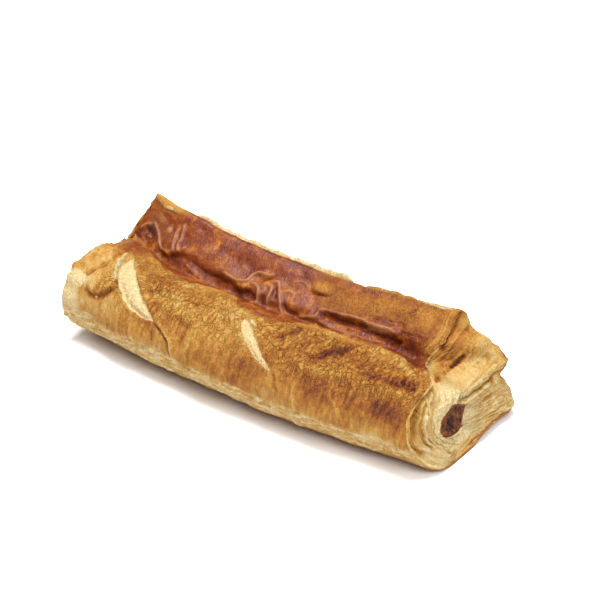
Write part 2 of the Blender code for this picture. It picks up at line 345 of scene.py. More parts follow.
    def end_x(self, side: Side, y: Array, z: Array) -> Array:
        """Return where an open end stands for points (y, z) of the section."""
        if side is Side.LEFT:
            tip = self.left_tip_step * step(28.0, 38.0, z)
            return tip + self.left_foot_round * step(self.left_foot_height, 0.0, z)
        valley = self.valley_end_step * bell(y, self.crease_y, self.valley_end_width) * step(19.5, 23.5, z)
        ridge = self.ridge_end_step * step(36.0, 46.0, y) * step(27.5, 31.0, z)
        front = self.front_end_round * step(6.0, -4.0, y)
        tongue = self.tongue_end_out * bell(z, self.upper_tongue_height, 4.5) * step(46.0, 54.0, y)
        return self.length - self.end_slope * z - valley - ridge - front + tongue

    def skin(self, along: Array, keys: Array) -> Array:
        """Return skin points as sections by points by (x, y, z), in millimetres from the left end."""
        points = self.section(along, keys)
        y, z = points[..., 0], points[..., 1]
        left = self.end_x(Side.LEFT, y, z)
        right = self.end_x(Side.RIGHT, y, z)
        x = left + (right - left) * along[:, None]
        return np.concatenate([x[..., None], points], axis=-1)

    def girth(self, keys: Array) -> Array:
        """Return how far round the middle section each key lies, from the ground at the front."""
        dense = np.linspace(0.0, self.last_corner + 1.0, 60 * (self.last_corner + 1))
        loop = self.section(np.array([0.5]), dense)[0]
        run = np.concatenate([[0.0], np.cumsum(np.linalg.norm(np.diff(loop, axis=0), axis=1))])
        return np.interp(keys, dense, run)

    def keys_at(self, girth: Array) -> Array:
        """Return the keys that lie so far round the middle section."""
        dense = np.linspace(0.0, self.last_corner + 1.0, 60 * (self.last_corner + 1))
        return np.interp(girth, self.girth(dense), dense)

    def oval(self, angles: Array, along: float = 0.0, gap: float = 0.0) -> Array:
        """Return the pointed oval of the filling.

        Args:
            angles: Angles round the oval.
            along: Share of the length, which sets the bow and the unevenness.
            gap: How far outside the filling the oval runs.

        Returns:
            An array of points by (y, z).
        """
        place = np.array(along)
        half_width = 0.5 * self.filling_width * (1.0 + 0.03 * self.wave(place, 6.0)) + gap
        half_height = 0.5 * self.filling_thickness * (1.0 + 0.04 * self.wave(place, 7.0)) + gap
        uneven = 1.0 + 0.05 * np.sin(3.0 * angles + 0.6) + 0.04 * np.sin(5.0 * angles + 2.0)
        flat = half_width * np.cos(angles) * uneven
        high = half_height * np.sin(angles) * np.abs(np.sin(angles)) ** 0.45 * uneven
        y = self.oval_y + self.bow_shift(place) + flat * math.cos(self.filling_tilt) - high * math.sin(self.filling_tilt)
        z = self.oval_height + flat * math.sin(self.filling_tilt) + high * math.cos(self.filling_tilt)
        return np.stack([y, z], axis=-1)

    def place(self, points: Array) -> Array:
        """Return points in the row frame, in metres, fitted to the box of the CAD pastry."""
        low, high = (np.array(corner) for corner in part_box("pastry"))
        scale = (high[0] - low[0]) / (self.outline_length * MM)
        middle = np.array([0.5 * (low[0] + high[0]), 0.5 * (low[1] + high[1]), low[2]])
        return middle + scale * MM * (points - np.array([self.middle_x, self.middle_y, 0.0]))


def normals_of(grid: Array) -> Array:
    """Return unit normals of a grid of points, on the side that its faces turn to."""
    along = np.gradient(grid, axis=0)
    around = np.gradient(grid, axis=1)
    normal = np.cross(along, around)
    length = np.linalg.norm(normal, axis=-1, keepdims=True)
    return normal / np.maximum(length, 1e-12)


def grid_mesh(name: str, points: Array, masks: dict[str, Array], breaks: tuple[int, ...] = ()) -> bpy.types.Mesh:
    """Shape a flat grid into a surface and keep its masks as attributes.

    Args:
        name: Name of the mesh.
        points: Places of the grid's points, as columns by rows by (x, y, z), in metres.
        masks: Named values for each point, as columns by rows.
        breaks: Columns after which the surface is cut, so that the next column starts a part of its own.

    Returns:
        The finished mesh, with a UV map that follows the grid.
    """
    columns, rows = points.shape[:2]
    shape = bmesh.new()
    bmesh.ops.create_grid(shape, x_segments=columns - 1, y_segments=rows - 1, size=0.5)
    layer = shape.loops.layers.uv.new("OFBake")
    for face in shape.faces:
        face.smooth = True
        for loop in face.loops:
            loop[layer].uv = (loop.vert.co.x + 0.5, loop.vert.co.y + 0.5)
    cut = [face for face in shape.faces if breaks and min(vert.index % columns for vert in face.verts) in breaks]
    bmesh.ops.delete(shape, geom=cut, context="FACES_ONLY")
    mesh = bpy.data.meshes.new(name)
    shape.to_mesh(mesh)
    shape.free()
    flat = points.transpose(1, 0, 2).reshape(-1, 3)
    mesh.vertices.foreach_set("co", flat.ravel())
    for mask, values in masks.items():
        attribute = mesh.attributes.new(mask, "FLOAT", "POINT")
        attribute.data.foreach_set("value", np.ascontiguousarray(values.T, dtype=np.float32).ravel())
    mesh.update()
    return mesh


def weld(mesh: bpy.types.Mesh, distance: float = 2e-6) -> None:
    """Join points of a mesh that lie in the same place, such as along the seam of a tube."""
    shape = bmesh.new()
    shape.from_mesh(mesh)
    bmesh.ops.remove_doubles(shape, verts=shape.verts, dist=distance)
    shape.to_mesh(mesh)
    shape.free()


def add_piece(name: str, mesh: bpy.types.Mesh, material: bpy.types.Material) -> bpy.types.Object:
    """Put a finished mesh in the scene as a piece that rides on the roll.

    Args:
        name: Name of the piece.
        mesh: Its mesh, in the row frame.
        material: Its finish.

    Returns:
        The new object.
    """
    mesh.materials.append(material)
    piece = bpy.data.objects.new(name, mesh)
    bpy.context.scene.collection.objects.link(piece)
    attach(piece, "root")
    LOG.info("%s: %d faces", name, len(mesh.polygons))
    return piece


class Graph:
    """Short ways to lay out the nodes of a material or of a group."""

    def __init__(self, tree: bpy.types.NodeTree) -> None:
        """Keep the tree that the nodes go in."""
        self.tree = tree

    def add(self, kind: str, **settings: object) -> bpy.types.Node:
        """Add one node and set its own properties."""
        node = self.tree.nodes.new(kind)
        for name, value in settings.items():
            setattr(node, name, value)
        return node

    def feed(self, socket: Socket, value: object) -> None:
        """Link a socket into an input, or set the input to a plain value."""
        if isinstance(value, bpy.types.NodeSocket):
            self.tree.links.new(value, socket)
        elif value is not None:
            socket.default_value = value

    def mask(self, name: str) -> Socket:
        """Return the value of one of the mesh's own masks."""
        return self.add("ShaderNodeAttribute", attribute_type="GEOMETRY", attribute_name=name).outputs["Fac"]

    def place(self) -> Socket:
        """Return the object coordinates."""
        return self.add("ShaderNodeTexCoord").outputs["Object"]

    def math(self, operation: str, first: object, second: object = None, clamp: bool = False) -> Socket:
        """Return the result of a sum on one or two values."""
        node = self.add("ShaderNodeMath", operation=operation, use_clamp=clamp)
        self.feed(node.inputs[0], first)
        self.feed(node.inputs[1], second)
        return node.outputs[0]

    def join(self, first: Socket, second: Socket) -> Socket:
        """Return a vector made of two values."""
        node = self.add("ShaderNodeCombineXYZ")
        self.feed(node.inputs["X"], first)
        self.feed(node.inputs["Y"], second)
        return node.outputs["Vector"]

    def blend_vectors(self, factor: Socket, first: Socket, second: Socket) -> Socket:
        """Return a mix of two vectors."""
        node = self.add("ShaderNodeMix", data_type="VECTOR")
        self.feed(node.inputs[0], factor)
        self.feed(node.inputs[4], first)
        self.feed(node.inputs[5], second)
        return node.outputs[1]

    def stretch(self, vector: Socket, scale: tuple[float, float, float]) -> Socket:
        """Return coordinates scaled along each axis."""
        node = self.add("ShaderNodeMapping")
        self.feed(node.inputs["Vector"], vector)
        node.inputs["Scale"].default_value = scale
        return node.outputs["Vector"]

    def noise(self, vector: Socket, scale: float, detail: float = 3.0, warp: float = 0.0) -> Socket:
        """Return a noise value between 0 and 1."""
        node = self.add("ShaderNodeTexNoise")
        self.feed(node.inputs["Vector"], vector)
        node.inputs["Scale"].default_value = scale
        node.inputs["Detail"].default_value = detail
        node.inputs["Distortion"].default_value = warp
        return node.outputs["Fac"]

    def spread(self, value: object, low: float, high: float, to_low: float = 0.0, to_high: float = 1.0) -> Socket:
        """Return a value moved from one range to another and kept inside it."""
        node = self.add("ShaderNodeMapRange", clamp=True)
        self.feed(node.inputs["Value"], value)
        for name, number in (("From Min", low), ("From Max", high), ("To Min", to_low), ("To Max", to_high)):
            node.inputs[name].default_value = number
        return node.outputs["Result"]

    def ramp(self, value: object, stops: tuple[tuple[float, tuple[int, int, int]], ...]) -> Socket:
        """Return a colour read from a ramp whose stops are given as places and screen colours."""
        node = self.add("ShaderNodeValToRGB")
        band = node.color_ramp
        while len(band.elements) < len(stops):
            band.elements.new(0.5)
        for element, (place, colour) in zip(band.elements, stops):
            element.position = place
            element.color = food(colour)
        self.feed(node.inputs["Fac"], value)
        return node.outputs["Color"]

    def blend(self, factor: object, first: object, second: object, kind: str = "MIX") -> Socket:
        """Return a mix of two colours."""
        node = self.add("ShaderNodeMix", data_type="RGBA", blend_type=kind)
        self.feed(node.inputs["Factor"], factor)
        self.feed(node.inputs[6], first)
        self.feed(node.inputs[7], second)
        return node.outputs[2]

    def relief(self, height: Socket, depth: float, below: Socket | None = None) -> Socket:
        """Return a normal that is bent by a height in metres."""
        node = self.add("ShaderNodeBump")
        node.inputs["Distance"].default_value = depth
        self.feed(node.inputs["Height"], height)
        self.feed(node.inputs["Normal"], below)
        return node.outputs["Normal"]


def screen(colour: tuple[int, int, int], share: float = 1.0) -> tuple[float, float, float, float]:
    """Return a screen colour of 0 to 255 as a linear colour, dimmed to a share of its light."""
    parts = [value / 255.0 for value in colour]
    linear = [part / 12.92 if part <= 0.04045 else ((part + 0.055) / 1.055) ** 2.4 for part in parts]
    return (share * linear[0], share * linear[1], share * linear[2], 1.0)


def food(colour: tuple[int, int, int]) -> tuple[float, float, float, float]:
    """Return the surface colour of food that shows as this screen colour under the bright studio light."""
    return screen(colour, FOOD_SHARE)


def group_node(graph: Graph, name: str, **inputs: object) -> bpy.types.Node:
    """Place a shared effect in a material and feed its inputs."""
    node = graph.add("ShaderNodeGroup", node_tree=bpy.data.node_groups[name])
    for socket, value in inputs.items():
        graph.feed(node.inputs[socket], value)
    return node


def new_group(name: str, inputs: dict[str, str], outputs: dict[str, str]) -> tuple[Graph, bpy.types.Node, bpy.types.Node]:
    """Start a shader node group.

    Args:
        name: Name of the group.
        inputs: Names of its inputs with their socket types.
        outputs: Names of its outputs with their socket types.

    Returns:
        The group's graph, its input node and its output node.
    """
    tree = bpy.data.node_groups.new(name, "ShaderNodeTree")
    for socket, kind in inputs.items():
        tree.interface.new_socket(name=socket, in_out="INPUT", socket_type=kind)
    for socket, kind in outputs.items():
        tree.interface.new_socket(name=socket, in_out="OUTPUT", socket_type=kind)
    graph = Graph(tree)
    return graph, graph.add("NodeGroupInput"), graph.add("NodeGroupOutput")


def dough_colour_group() -> None:
    """Make the shared browning effect, from raw cream to dark brown, with mottles at three sizes and fine streaks; the
    value fed in also carries painted shade in grooves and hollows and painted light on crests.
    """
    graph, source, result = new_group(
        "dough_browning_and_shade",
        {
            "Vector": "NodeSocketVector",
            "Streak": "NodeSocketVector",
            "Bake": "NodeSocketFloat",
            "Patchy": "NodeSocketFloat",
        },
        {"Color": "NodeSocketColor", "Value": "NodeSocketFloat"},
    )
    broad = graph.noise(source.outputs["Vector"], 160.0, 3.0, 0.6)
    middle = graph.noise(source.outputs["Vector"], 560.0, 4.0, 0.5)
    fine = graph.noise(source.outputs["Vector"], 1800.0, 3.0)
    streak = graph.noise(source.outputs["Streak"], 1.0, 4.0, 0.4)
    total = graph.math("ADD", graph.math("MULTIPLY", broad, 0.25), graph.math("MULTIPLY", middle, 0.33))
    total = graph.math("ADD", total, graph.math("MULTIPLY", fine, 0.17))
    total = graph.math("ADD", total, graph.math("MULTIPLY", streak, 0.25))
    swing = graph.math("MULTIPLY", graph.math("SUBTRACT", total, 0.5), source.outputs["Patchy"])
    baked = graph.math("ADD", source.outputs["Bake"], swing, clamp=True)
    stops = (
        (0.00, (238, 216, 164)),
        (0.20, (226, 188, 116)),
        (0.40, (210, 153, 66)),
        (0.58, (186, 119, 42)),
        (0.76, (150, 82, 28)),
        (0.90, (114, 52, 20)),
        (1.00, (82, 34, 14)),
    )
    graph.feed(result.inputs["Color"], graph.ramp(baked, stops))
    graph.feed(result.inputs["Value"], baked)


@dataclass(frozen=True)
class CrustFinish:
    """Baked skin: golden with brown mottles, egg wash glaze on the top panel, raw cream dough where it split."""

    name: str = "crust"
    patchy: float = 1.0
    skin_streak: tuple[float, float, float] = (0.55, 0.09, 1.0)
    cut_streak: tuple[float, float, float] = (0.06, 1.05, 1.0)

    def make(self) -> bpy.types.Material:
        """Return the finished material."""
        material = bpy.data.materials.new(self.name)
        material.use_nodes = True
        graph = Graph(material.node_tree)
        shader = material.node_tree.nodes["Principled BSDF"]
        place = graph.place()
        bake, glaze, raw, pool, cut = [graph.mask(mask) for mask in ("bake", "glaze", "raw", "pool", "cut")]
        follow = graph.join(graph.mask("run"), graph.mask("leaf"))
        along_skin = graph.stretch(follow, self.skin_streak)
        along_cut = graph.stretch(follow, self.cut_streak)
        streak = graph.blend_vectors(graph.spread(cut, 0.4, 0.6), along_skin, along_cut)
        long_crease = self.crease(graph, graph.stretch(follow, (0.48, 0.15, 1.0)), 0.060)
        short_crease = self.crease(graph, graph.stretch(follow, (0.40, 0.34, 1.0)), 0.045)
        crease = graph.math("MULTIPLY", graph.math("MAXIMUM", long_crease, short_crease), graph.mask("scaly"))
        # The crease lines darken the colour as painted shade along the creases; further down they also sink the bump.
        bake = graph.math("ADD", bake, graph.math("MULTIPLY", crease, 0.13))
        skin = group_node(graph, "dough_browning_and_shade", Vector=place, Streak=streak, Bake=bake, Patchy=self.patchy)
        wash_fine = graph.noise(place, 1300.0, 3.0)
        wash = graph.math("MULTIPLY", graph.noise(place, 130.0, 3.0, 0.8), 0.45)
        wash = graph.math("ADD", wash, graph.math("MULTIPLY", graph.noise(place, 320.0, 4.0, 0.8), 0.35))
        wash = graph.math("ADD", wash, graph.math("MULTIPLY", wash_fine, 0.20))
        glazed = graph.ramp(
            wash,
            (
                (0.36, (100, 36, 16)),
                (0.44, (126, 54, 25)),
                (0.50, (140, 66, 27)),
                (0.56, (166, 91, 30)),
                (0.63, (192, 122, 38)),
            ),
        )
        pooled = graph.ramp(wash, ((0.36, (64, 18, 6)), (0.5, (104, 38, 10)), (0.62, (152, 70, 18))))
        # Negative pool values pale the glaze to pinkish purple as a painted sheen and painted highlights; positive
        # ones darken it as pooled egg wash.
        glazed = graph.blend(graph.spread(pool, 0.0, -1.0), glazed, food((186, 126, 84)))
        glazed = graph.blend(graph.spread(pool, 0.0, 1.0), glazed, pooled)
        edge = graph.math("ADD", glaze, graph.math("MULTIPLY", graph.math("SUBTRACT", wash, 0.5), 1.3))
        colour = graph.blend(graph.spread(edge, 0.15, 0.85), skin.outputs["Color"], glazed)
        cream = graph.ramp(
            graph.noise(graph.stretch(place, (1.0, 1.6, 1.6)), 900.0, 4.0, 0.5),
            ((0.25, (200, 154, 88)), (0.42, (232, 200, 138)), (0.62, (244, 224, 174))),
        )
        torn = graph.math("ADD", raw, graph.math("MULTIPLY", graph.math("SUBTRACT", wash_fine, 0.5), 0.45))
        colour = graph.blend(graph.spread(torn, 0.36, 0.66), colour, cream)
        graph.feed(shader.inputs["Base Color"], colour)
        rough = graph.spread(glaze, 0.2, 0.8, 0.52, 0.36)
        rough = graph.math("ADD", rough, graph.math("MULTIPLY", raw, 0.25), clamp=True)
        rough = graph.math("ADD", rough, graph.math("MULTIPLY", graph.math("SUBTRACT", wash, 0.5), 0.25), clamp=True)
        graph.feed(shader.inputs["Roughness"], rough)
        shader.inputs["Specular IOR Level"].default_value = 0.24
        shader.inputs["Subsurface Weight"].default_value = 0.04
        shader.inputs["Subsurface Scale"].default_value = 0.002
        shader.inputs["Subsurface Radius"].default_value = (1.0, 0.5, 0.2)
        flake = graph.noise(graph.stretch(place, (1.6, 0.7, 0.7)), 900.0, 4.0, 0.4)
        crumb = graph.noise(place, 2600.0, 2.0)
        leaves = graph.noise(streak, 1.0, 3.0, 0.3)
        height = graph.math("ADD", graph.math("MULTIPLY", flake, 0.5), graph.math("MULTIPLY", crumb, 0.2))
        height = graph.math("ADD", height, graph.math("MULTIPLY", leaves, 0.3))
        calm = graph.spread(glaze, 0.3, 0.7, 1.0, 0.30)
        height = graph.math("SUBTRACT", graph.math("MULTIPLY", height, calm), graph.math("MULTIPLY", crease, 0.42))
        graph.feed(shader.inputs["Normal"], graph.relief(height, 0.0016))
        return material

    @staticmethod
    def crease(graph: Graph, vector: Socket, width: float) -> Socket:
        """Return thin winding lines of height 1, where a noise passes its middle value."""
        off_middle = graph.math("ABSOLUTE", graph.math("SUBTRACT", graph.noise(vector, 1.0, 2.0, 0.4), 0.5))
        return graph.spread(off_middle, 0.0, width, 1.0, 0.0)


@dataclass(frozen=True)
class FillingFinish:
    """Cooked mince: dark red-brown and moist, with orange fat and darker crumbs."""

    name: str = "mince"

    def make(self) -> bpy.types.Material:
        """Return the finished material."""
        material = bpy.data.materials.new(self.name)
        material.use_nodes = True
        graph = Graph(material.node_tree)
        shader = material.node_tree.nodes["Principled BSDF"]
        place = graph.place()
        lean = graph.noise(place, 300.0, 4.0, 0.8)
        fat = graph.noise(graph.stretch(place, (1.0, 1.3, 0.8)), 560.0, 3.0, 0.4)
        meat = graph.ramp(lean, ((0.36, (46, 16, 6)), (0.47, (84, 38, 16)), (0.60, (136, 80, 38))))
        colour = graph.blend(graph.spread(fat, 0.60, 0.72), meat, food((180, 98, 30)))
        colour = graph.blend(graph.math("MULTIPLY", graph.mask("rim"), 0.75), colour, food((178, 92, 34)))
        graph.feed(shader.inputs["Base Color"], colour)
        graph.feed(shader.inputs["Roughness"], graph.spread(lean, 0.3, 0.7, 0.32, 0.6))
        shader.inputs["Specular IOR Level"].default_value = 0.25
        grain = graph.noise(place, 1500.0, 4.0, 0.3)
        graph.feed(shader.inputs["Normal"], graph.relief(grain, 0.0012))
        return material


@dataclass(frozen=True)
class FloorFinish:
    """Plain matt white table."""

    name: str = "table"
    colour: tuple[int, int, int] = (250, 250, 250)

    def make(self) -> bpy.types.Material:
        """Return the finished material."""
        material = bpy.data.materials.new(self.name)
        material.use_nodes = True
        shader = material.node_tree.nodes["Principled BSDF"]
        shader.inputs["Base Color"].default_value = screen(self.colour)
        shader.inputs["Roughness"].default_value = 0.9
        shader.inputs["Specular IOR Level"].default_value = 0.1
        return material


@dataclass(frozen=True)
class Marks:
    """Values painted over a grid of points: height in millimetres and the masks that the finish reads."""

    height: Array
    # browning, together with painted shade in grooves and hollows and painted light on crests
    bake: Array
    glaze: Array
    # pooled glaze where positive; painted sheen and glints on the glaze where negative
    pool: Array
    raw: Array
    scaly: Array

    @classmethod
    def blank(cls, shape: tuple[int, ...], bake: float = 0.0) -> "Marks":
        """Return marks that are the same all over."""
        height, glaze, pool, raw, scaly = [np.zeros(shape) for _ in range(5)]
        return cls(height, np.full(shape, bake), glaze, pool, raw, scaly)


@dataclass(frozen=True)
class Stroke:
    """A fold or a groove along a path on the chart, with its own colour: browning and glaze, and painted shade in
    grooves and painted light on raised folds.

    The side above lies towards the ridge where the path runs to the right.
    """

    path: Path
    height: float = 0.0
    above: float = 1.0
    below: float = 1.0
    bake: float = 0.0
    glaze: float = 0.0
    pool: float = 0.0
    raw: float = 0.0
    fade: float = 0.18

    def paint(self, x: Array, g: Array, marks: Marks) -> None:
        """Add the stroke to the marks."""
        distance, share, side = path_distance(x, g, self.path)
        width = np.where(side > 0.0, self.above, self.below)
        ends = step(0.0, self.fade, share) * step(1.0, 1.0 - self.fade, share)
        add_marks(self, np.exp(-((distance / width) ** 2)) * ends, marks)


@dataclass(frozen=True)
class Furrow:
    """A groove, a rib or a darkened line along a path in space, in millimetres from the left end at the ground."""

    path: tuple[tuple[float, float, float], ...]
    radius: float
    height: float = 0.0
    bake: float = 0.0
    glaze: float = 0.0
    pool: float = 0.0
    raw: float = 0.0

    def paint(self, points: Array, marks: Marks) -> None:
        """Add the furrow to the marks."""
        best = np.full(points.shape[:-1], np.inf)
        corners = np.array(self.path)
        for start, end in zip(corners[:-1], corners[1:]):
            run = end - start
            part = np.clip((points - start) @ run / (run @ run), 0.0, 1.0)
            best = np.minimum(best, np.linalg.norm(points - start - part[..., None] * run, axis=-1))
        add_marks(self, np.exp(-((best / self.radius) ** 2)), marks)


@dataclass(frozen=True)
class Patch:
    """A soft spot on the chart, raised, sunk, browned or paled."""

    centre: tuple[float, float]
    reach: tuple[float, float]
    height: float = 0.0
    bake: float = 0.0
    glaze: float = 0.0
    pool: float = 0.0
    raw: float = 0.0

    def paint(self, x: Array, g: Array, marks: Marks) -> None:
        """Add the patch to the marks."""
        add_marks(self, blob(x, g, self.centre, self.reach), marks)


def add_marks(mark: Stroke | Furrow | Patch, weight: Array, marks: Marks) -> None:
    """Add one mark's amounts to the marks, by its weight at each point."""
    for name in ("height", "bake", "glaze", "pool", "raw"):
        amount = getattr(mark, name)
        if amount:
            target = getattr(marks, name)
            target += amount * weight


@dataclass(frozen=True)
class Slash:
    """A cut in the top sheet that opened in the oven and shows a leaf of pale dough."""

    path: Path
    half_width: float
    depth: float
    rim: float
    round_top: float = 0.22
    fullness: float = 2.3
    raw: float = 1.0

    def paint(self, x: Array, g: Array, marks: Marks, grain: Grain) -> None:
        """Sink the leaf, raise its rim and lay the pale dough bare."""
        distance, share, side = path_distance(x, g, self.path)
        top = np.sqrt(np.clip(1.0 - (1.0 - np.clip(share / self.round_top, 0.0, 1.0)) ** 2, 0.0, 1.0))
        tip = 1.0 - np.clip((share - 0.30) / 0.70, 0.0, 1.0) ** self.fullness
        wobble = 1.0 + 0.18 * grain.value(at(x, g, 2.6, 2.6))
        reach = self.half_width * top * tip * wobble * np.where(side < 0.0, 1.15, 0.85)
        inside = step(-0.20, 0.30, reach - distance)
        fluff = 0.5 * grain.cloud(at(x, g, 1.3, 0.9), 3) + 0.5 * grain.ridges(at(x - g, x + g, 3.4, 1.1))
        deeper = step(0.2, 1.0, distance / np.maximum(reach, 0.3)) * np.where(side < 0.0, 1.0, 0.55)
        floor = -self.depth * (0.30 + 0.70 * deeper)
        strength = step(0.0, 0.06, share) * step(1.0, 0.92, share)
        outside = bell(distance - reach, 0.75, 0.8) * strength
        marks.height[:] = marks.height * (1.0 - 0.75 * inside) + inside * (floor + 0.34 * fluff)
        marks.height[:] += self.rim * outside * (1.25 - share)
        marks.raw[:] = np.maximum(marks.raw * (1.0 - 0.6 * outside), self.raw * inside)
        marks.bake[:] -= 0.22 * outside * step(0.75, 0.15, share)
        marks.bake[:] += 0.10 * outside * step(0.5, 0.9, share)


@dataclass
class Crust:
    """The whole pastry as one closed skin: left end, rolled sheet, right end and the bore round the filling."""

    form: RollForm
    stations: int = 322
    rings: int = 60
    bore_stations: int = 8
    left_rings: int = 34
    front_spacing: float = 0.56
    back_spacing: float = 0.90
    ground_spacing: float = 1.60
    end_crowding: float = 0.06
    grain: Grain = field(default_factory=lambda: Grain(11))
    flakes: Grain = field(default_factory=lambda: Grain(29))

    glaze_edge: Path = (
        (-5.0, 74.0), (8.0, 71.5), (14.0, 69.0), (20.0, 67.3), (28.2, 64.0), (41.1, 63.8), (45.7, 66.8), (49.8, 69.2),
        (61.1, 67.3), (65.8, 61.8), (73.0, 57.0), (83.5, 57.5), (87.5, 63.0), (89.0, 68.0), (94.0, 71.0),
        (99.2, 70.8), (103.0, 69.8), (113.0, 69.6), (122.4, 70.2), (127.0, 69.8), (137.1, 63.5), (145.2, 59.1),
        (170.0, 58.5),
    )
    slashes: tuple[Slash, ...] = (
        Slash(((14.4, 58.6), (17.5, 53.8), (20.5, 50.2), (25.5, 44.8), (30.5, 41.0), (36.5, 38.0), (44.5, 35.0)), 4.0, 1.7, 1.0, 0.55, 3.0),
        Slash(
            ((75.5, 52.0), (81.0, 47.0), (86.0, 42.8), (92.0, 38.0), (97.0, 35.4), (101.0, 34.0)),
            2.1,
            1.2,
            0.6,
            raw=0.66,
        ),
    )
    # Folds and grooves on the skin: the sunk strokes are darkened as painted shade in the grooves and hollows, and the
    # raised ones paled as painted light on the crests and lips.
    strokes: tuple[Stroke, ...] = (
        Stroke(((43.5, 34.8), (49.0, 33.0), (53.0, 30.5), (55.0, 25.0), (56.0, 21.0)), -0.7, 0.5, 0.5, bake=0.30),
        Stroke(((43.5, 36.0), (49.5, 34.2), (54.2, 31.2), (56.3, 25.5), (57.2, 21.5)), 0.45, 0.8, 0.6, bake=-0.22),
        Stroke(((58.3, 42.0), (58.7, 35.0), (56.6, 29.0)), -0.55, 1.3, 0.8, bake=0.14),
        Stroke(((43.6, 32.0), (45.0, 30.2), (46.2, 28.0)), -0.5, 0.4, 0.4, bake=0.3),
        Stroke(((100.5, 34.5), (101.4, 31.4), (104.6, 28.0)), -0.5, 0.6, 0.5, bake=0.1),
        Stroke(((99.0, 37.0), (102.8, 33.0), (106.0, 28.5)), 0.4, 0.9, 0.9, bake=-0.14),
        Stroke(((92.7, 46.0), (93.6, 51.0), (94.8, 55.0), (94.6, 62.8)), -1.0, 1.8, 1.6, bake=0.26),
        Stroke(((100.6, 45.0), (100.0, 51.8), (99.6, 57.5), (100.8, 64.2), (105.7, 65.7), (112.3, 65.0)), 1.0, 1.6, 2.6, bake=-0.12),
        Stroke(((107.2, 43.5), (111.5, 48.0), (113.6, 51.0), (115.5, 54.2), (117.6, 58.0), (117.3, 64.0)), -1.0, 2.2, 2.4, bake=0.26),
        Stroke(((119.9, 46.5), (121.0, 51.8), (121.4, 58.3), (124.1, 61.8), (127.3, 64.3)), 1.0, 1.4, 2.6, bake=-0.12),
        Stroke(((122.0, 60.0), (127.3, 64.3), (132.8, 63.5), (140.5, 58.3), (148.9, 51.0)), 1.0, 1.3, 3.0, bake=-0.12),
        Stroke(((114.0, 68.0), (120.0, 67.5), (126.0, 67.2), (132.0, 65.8)), -0.6, 1.2, 1.2, bake=0.12),
        Stroke(((129.0, 47.8), (136.7, 47.0), (140.5, 47.0), (145.2, 47.8), (153.0, 46.0)), -0.8, 2.4, 2.4, bake=0.18),
        Stroke(((103.4, 40.3), (112.3, 40.3), (118.1, 41.0), (122.8, 43.0), (128.1, 42.0)), 0.8, 2.4, 1.8, bake=-0.12),
        Stroke(((124.0, 42.6), (132.2, 41.2), (138.2, 42.0), (143.7, 42.0), (153.3, 41.1)), 0.8, 2.2, 2.0, bake=-0.12),
        Stroke(((108.9, 36.0), (109.8, 30.0), (111.4, 23.3)), 0.45, 0.7, 0.6, bake=-0.20),
        Stroke(((122.6, 39.5), (123.6, 33.4), (127.6, 30.4), (130.6, 25.5)), 0.5, 0.8, 0.7, bake=-0.14),
        Stroke(((129.6, 38.5), (130.4, 33.3), (132.5, 29.0)), -0.35, 0.7, 0.6, bake=0.14),
        Stroke(((35.4, 44.0), (36.7, 48.0), (36.4, 54.2), (36.0, 61.9)), -0.7, 0.9, 1.1, bake=0.18),
        Stroke(((49.8, 41.3), (56.0, 39.4), (59.7, 38.5), (60.4, 46.3)), -0.6, 1.0, 0.9, bake=0.14),
        Stroke(((21.0, 42.6), (16.9, 46.8), (13.1, 53.2), (11.2, 58.0), (12.6, 60.6), (17.5, 59.0)), 0.8, 0.9, 0.9, bake=-0.20, fade=0.1),
    )
    patches: tuple[Patch, ...] = (
        Patch((22.0, 32.0), (30.0, 12.0), bake=-0.05),
        Patch((66.0, 50.0), (16.0, 10.0), bake=-0.06),
        Patch((36.0, 52.0), (14.0, 10.0), bake=0.02),
        Patch((44.0, 42.0), (7.0, 5.0), bake=0.10),
        Patch((86.0, 33.0), (9.0, 5.0), bake=0.14),
        Patch((70.0, 36.0), (8.0, 7.0), bake=0.03),
        Patch((116.5, 33.2), (7.5, 4.4), bake=0.17),
        Patch((148.0, 34.0), (7.4, 4.6), bake=0.26),
        Patch((134.0, 33.0), (6.0, 4.6), bake=0.08),
        Patch((122.0, 50.0), (32.0, 15.0), bake=0.14),
        Patch((125.0, 36.0), (26.0, 7.0), bake=0.05),
        Patch((55.0, 50.0), (46.0, 14.0), bake=-0.03),
        Patch((66.0, 40.0), (40.0, 9.0), bake=-0.04),
        Patch((147.0, 34.0), (8.0, 5.0), bake=0.12),
        Patch((141.0, 23.5), (12.0, 3.6), bake=-0.10, raw=0.35),
        Patch((60.0, 27.0), (50.0, 5.0), bake=0.03),
        Patch((112.0, 57.0), (8.0, 4.0), bake=-0.06),
        Patch((134.0, 57.0), (10.0, 4.0), bake=-0.06),
        Patch((3.0, 30.0), (8.0, 6.0), raw=0.7, bake=-0.16),
        Patch((6.0, 39.0), (7.0, 2.6), raw=0.55, bake=-0.1),
    )

    def marks_on_skin(self, x: Array, g: Array) -> Marks:
        """Return what is painted on the rolled sheet, from the chart places of its points."""
        marks = Marks.blank(x.shape, 0.50)
        grain, flakes = self.grain, self.flakes
        bend_x = x + 1.1 * grain.value(at(x, g, 7.0, 7.0, 3.0))
        bend_g = g + 1.1 * grain.value(at(x, g, 7.0, 7.0, 9.0))
        front = step(14.0, 24.0, g) * step(70.0, 60.0, g)
        upper = step(38.0, 50.0, g) * step(72.0, 62.0, g)
        lower = step(18.0, 26.0, g) * step(46.0, 36.0, g)
        right = step(88.0, 102.0, x)
        marks.height[:] += 0.75 * grain.cloud(at(x, g, 12.0, 10.0), 3) * step(8.0, 16.0, g) * step(70.0, 60.0, g)
        calm = 0.5 + 0.5 * np.clip(grain.cloud(at(x, g, 14.0, 9.0, 30.0), 2) * 1.6 + 0.4, 0.0, 1.0)
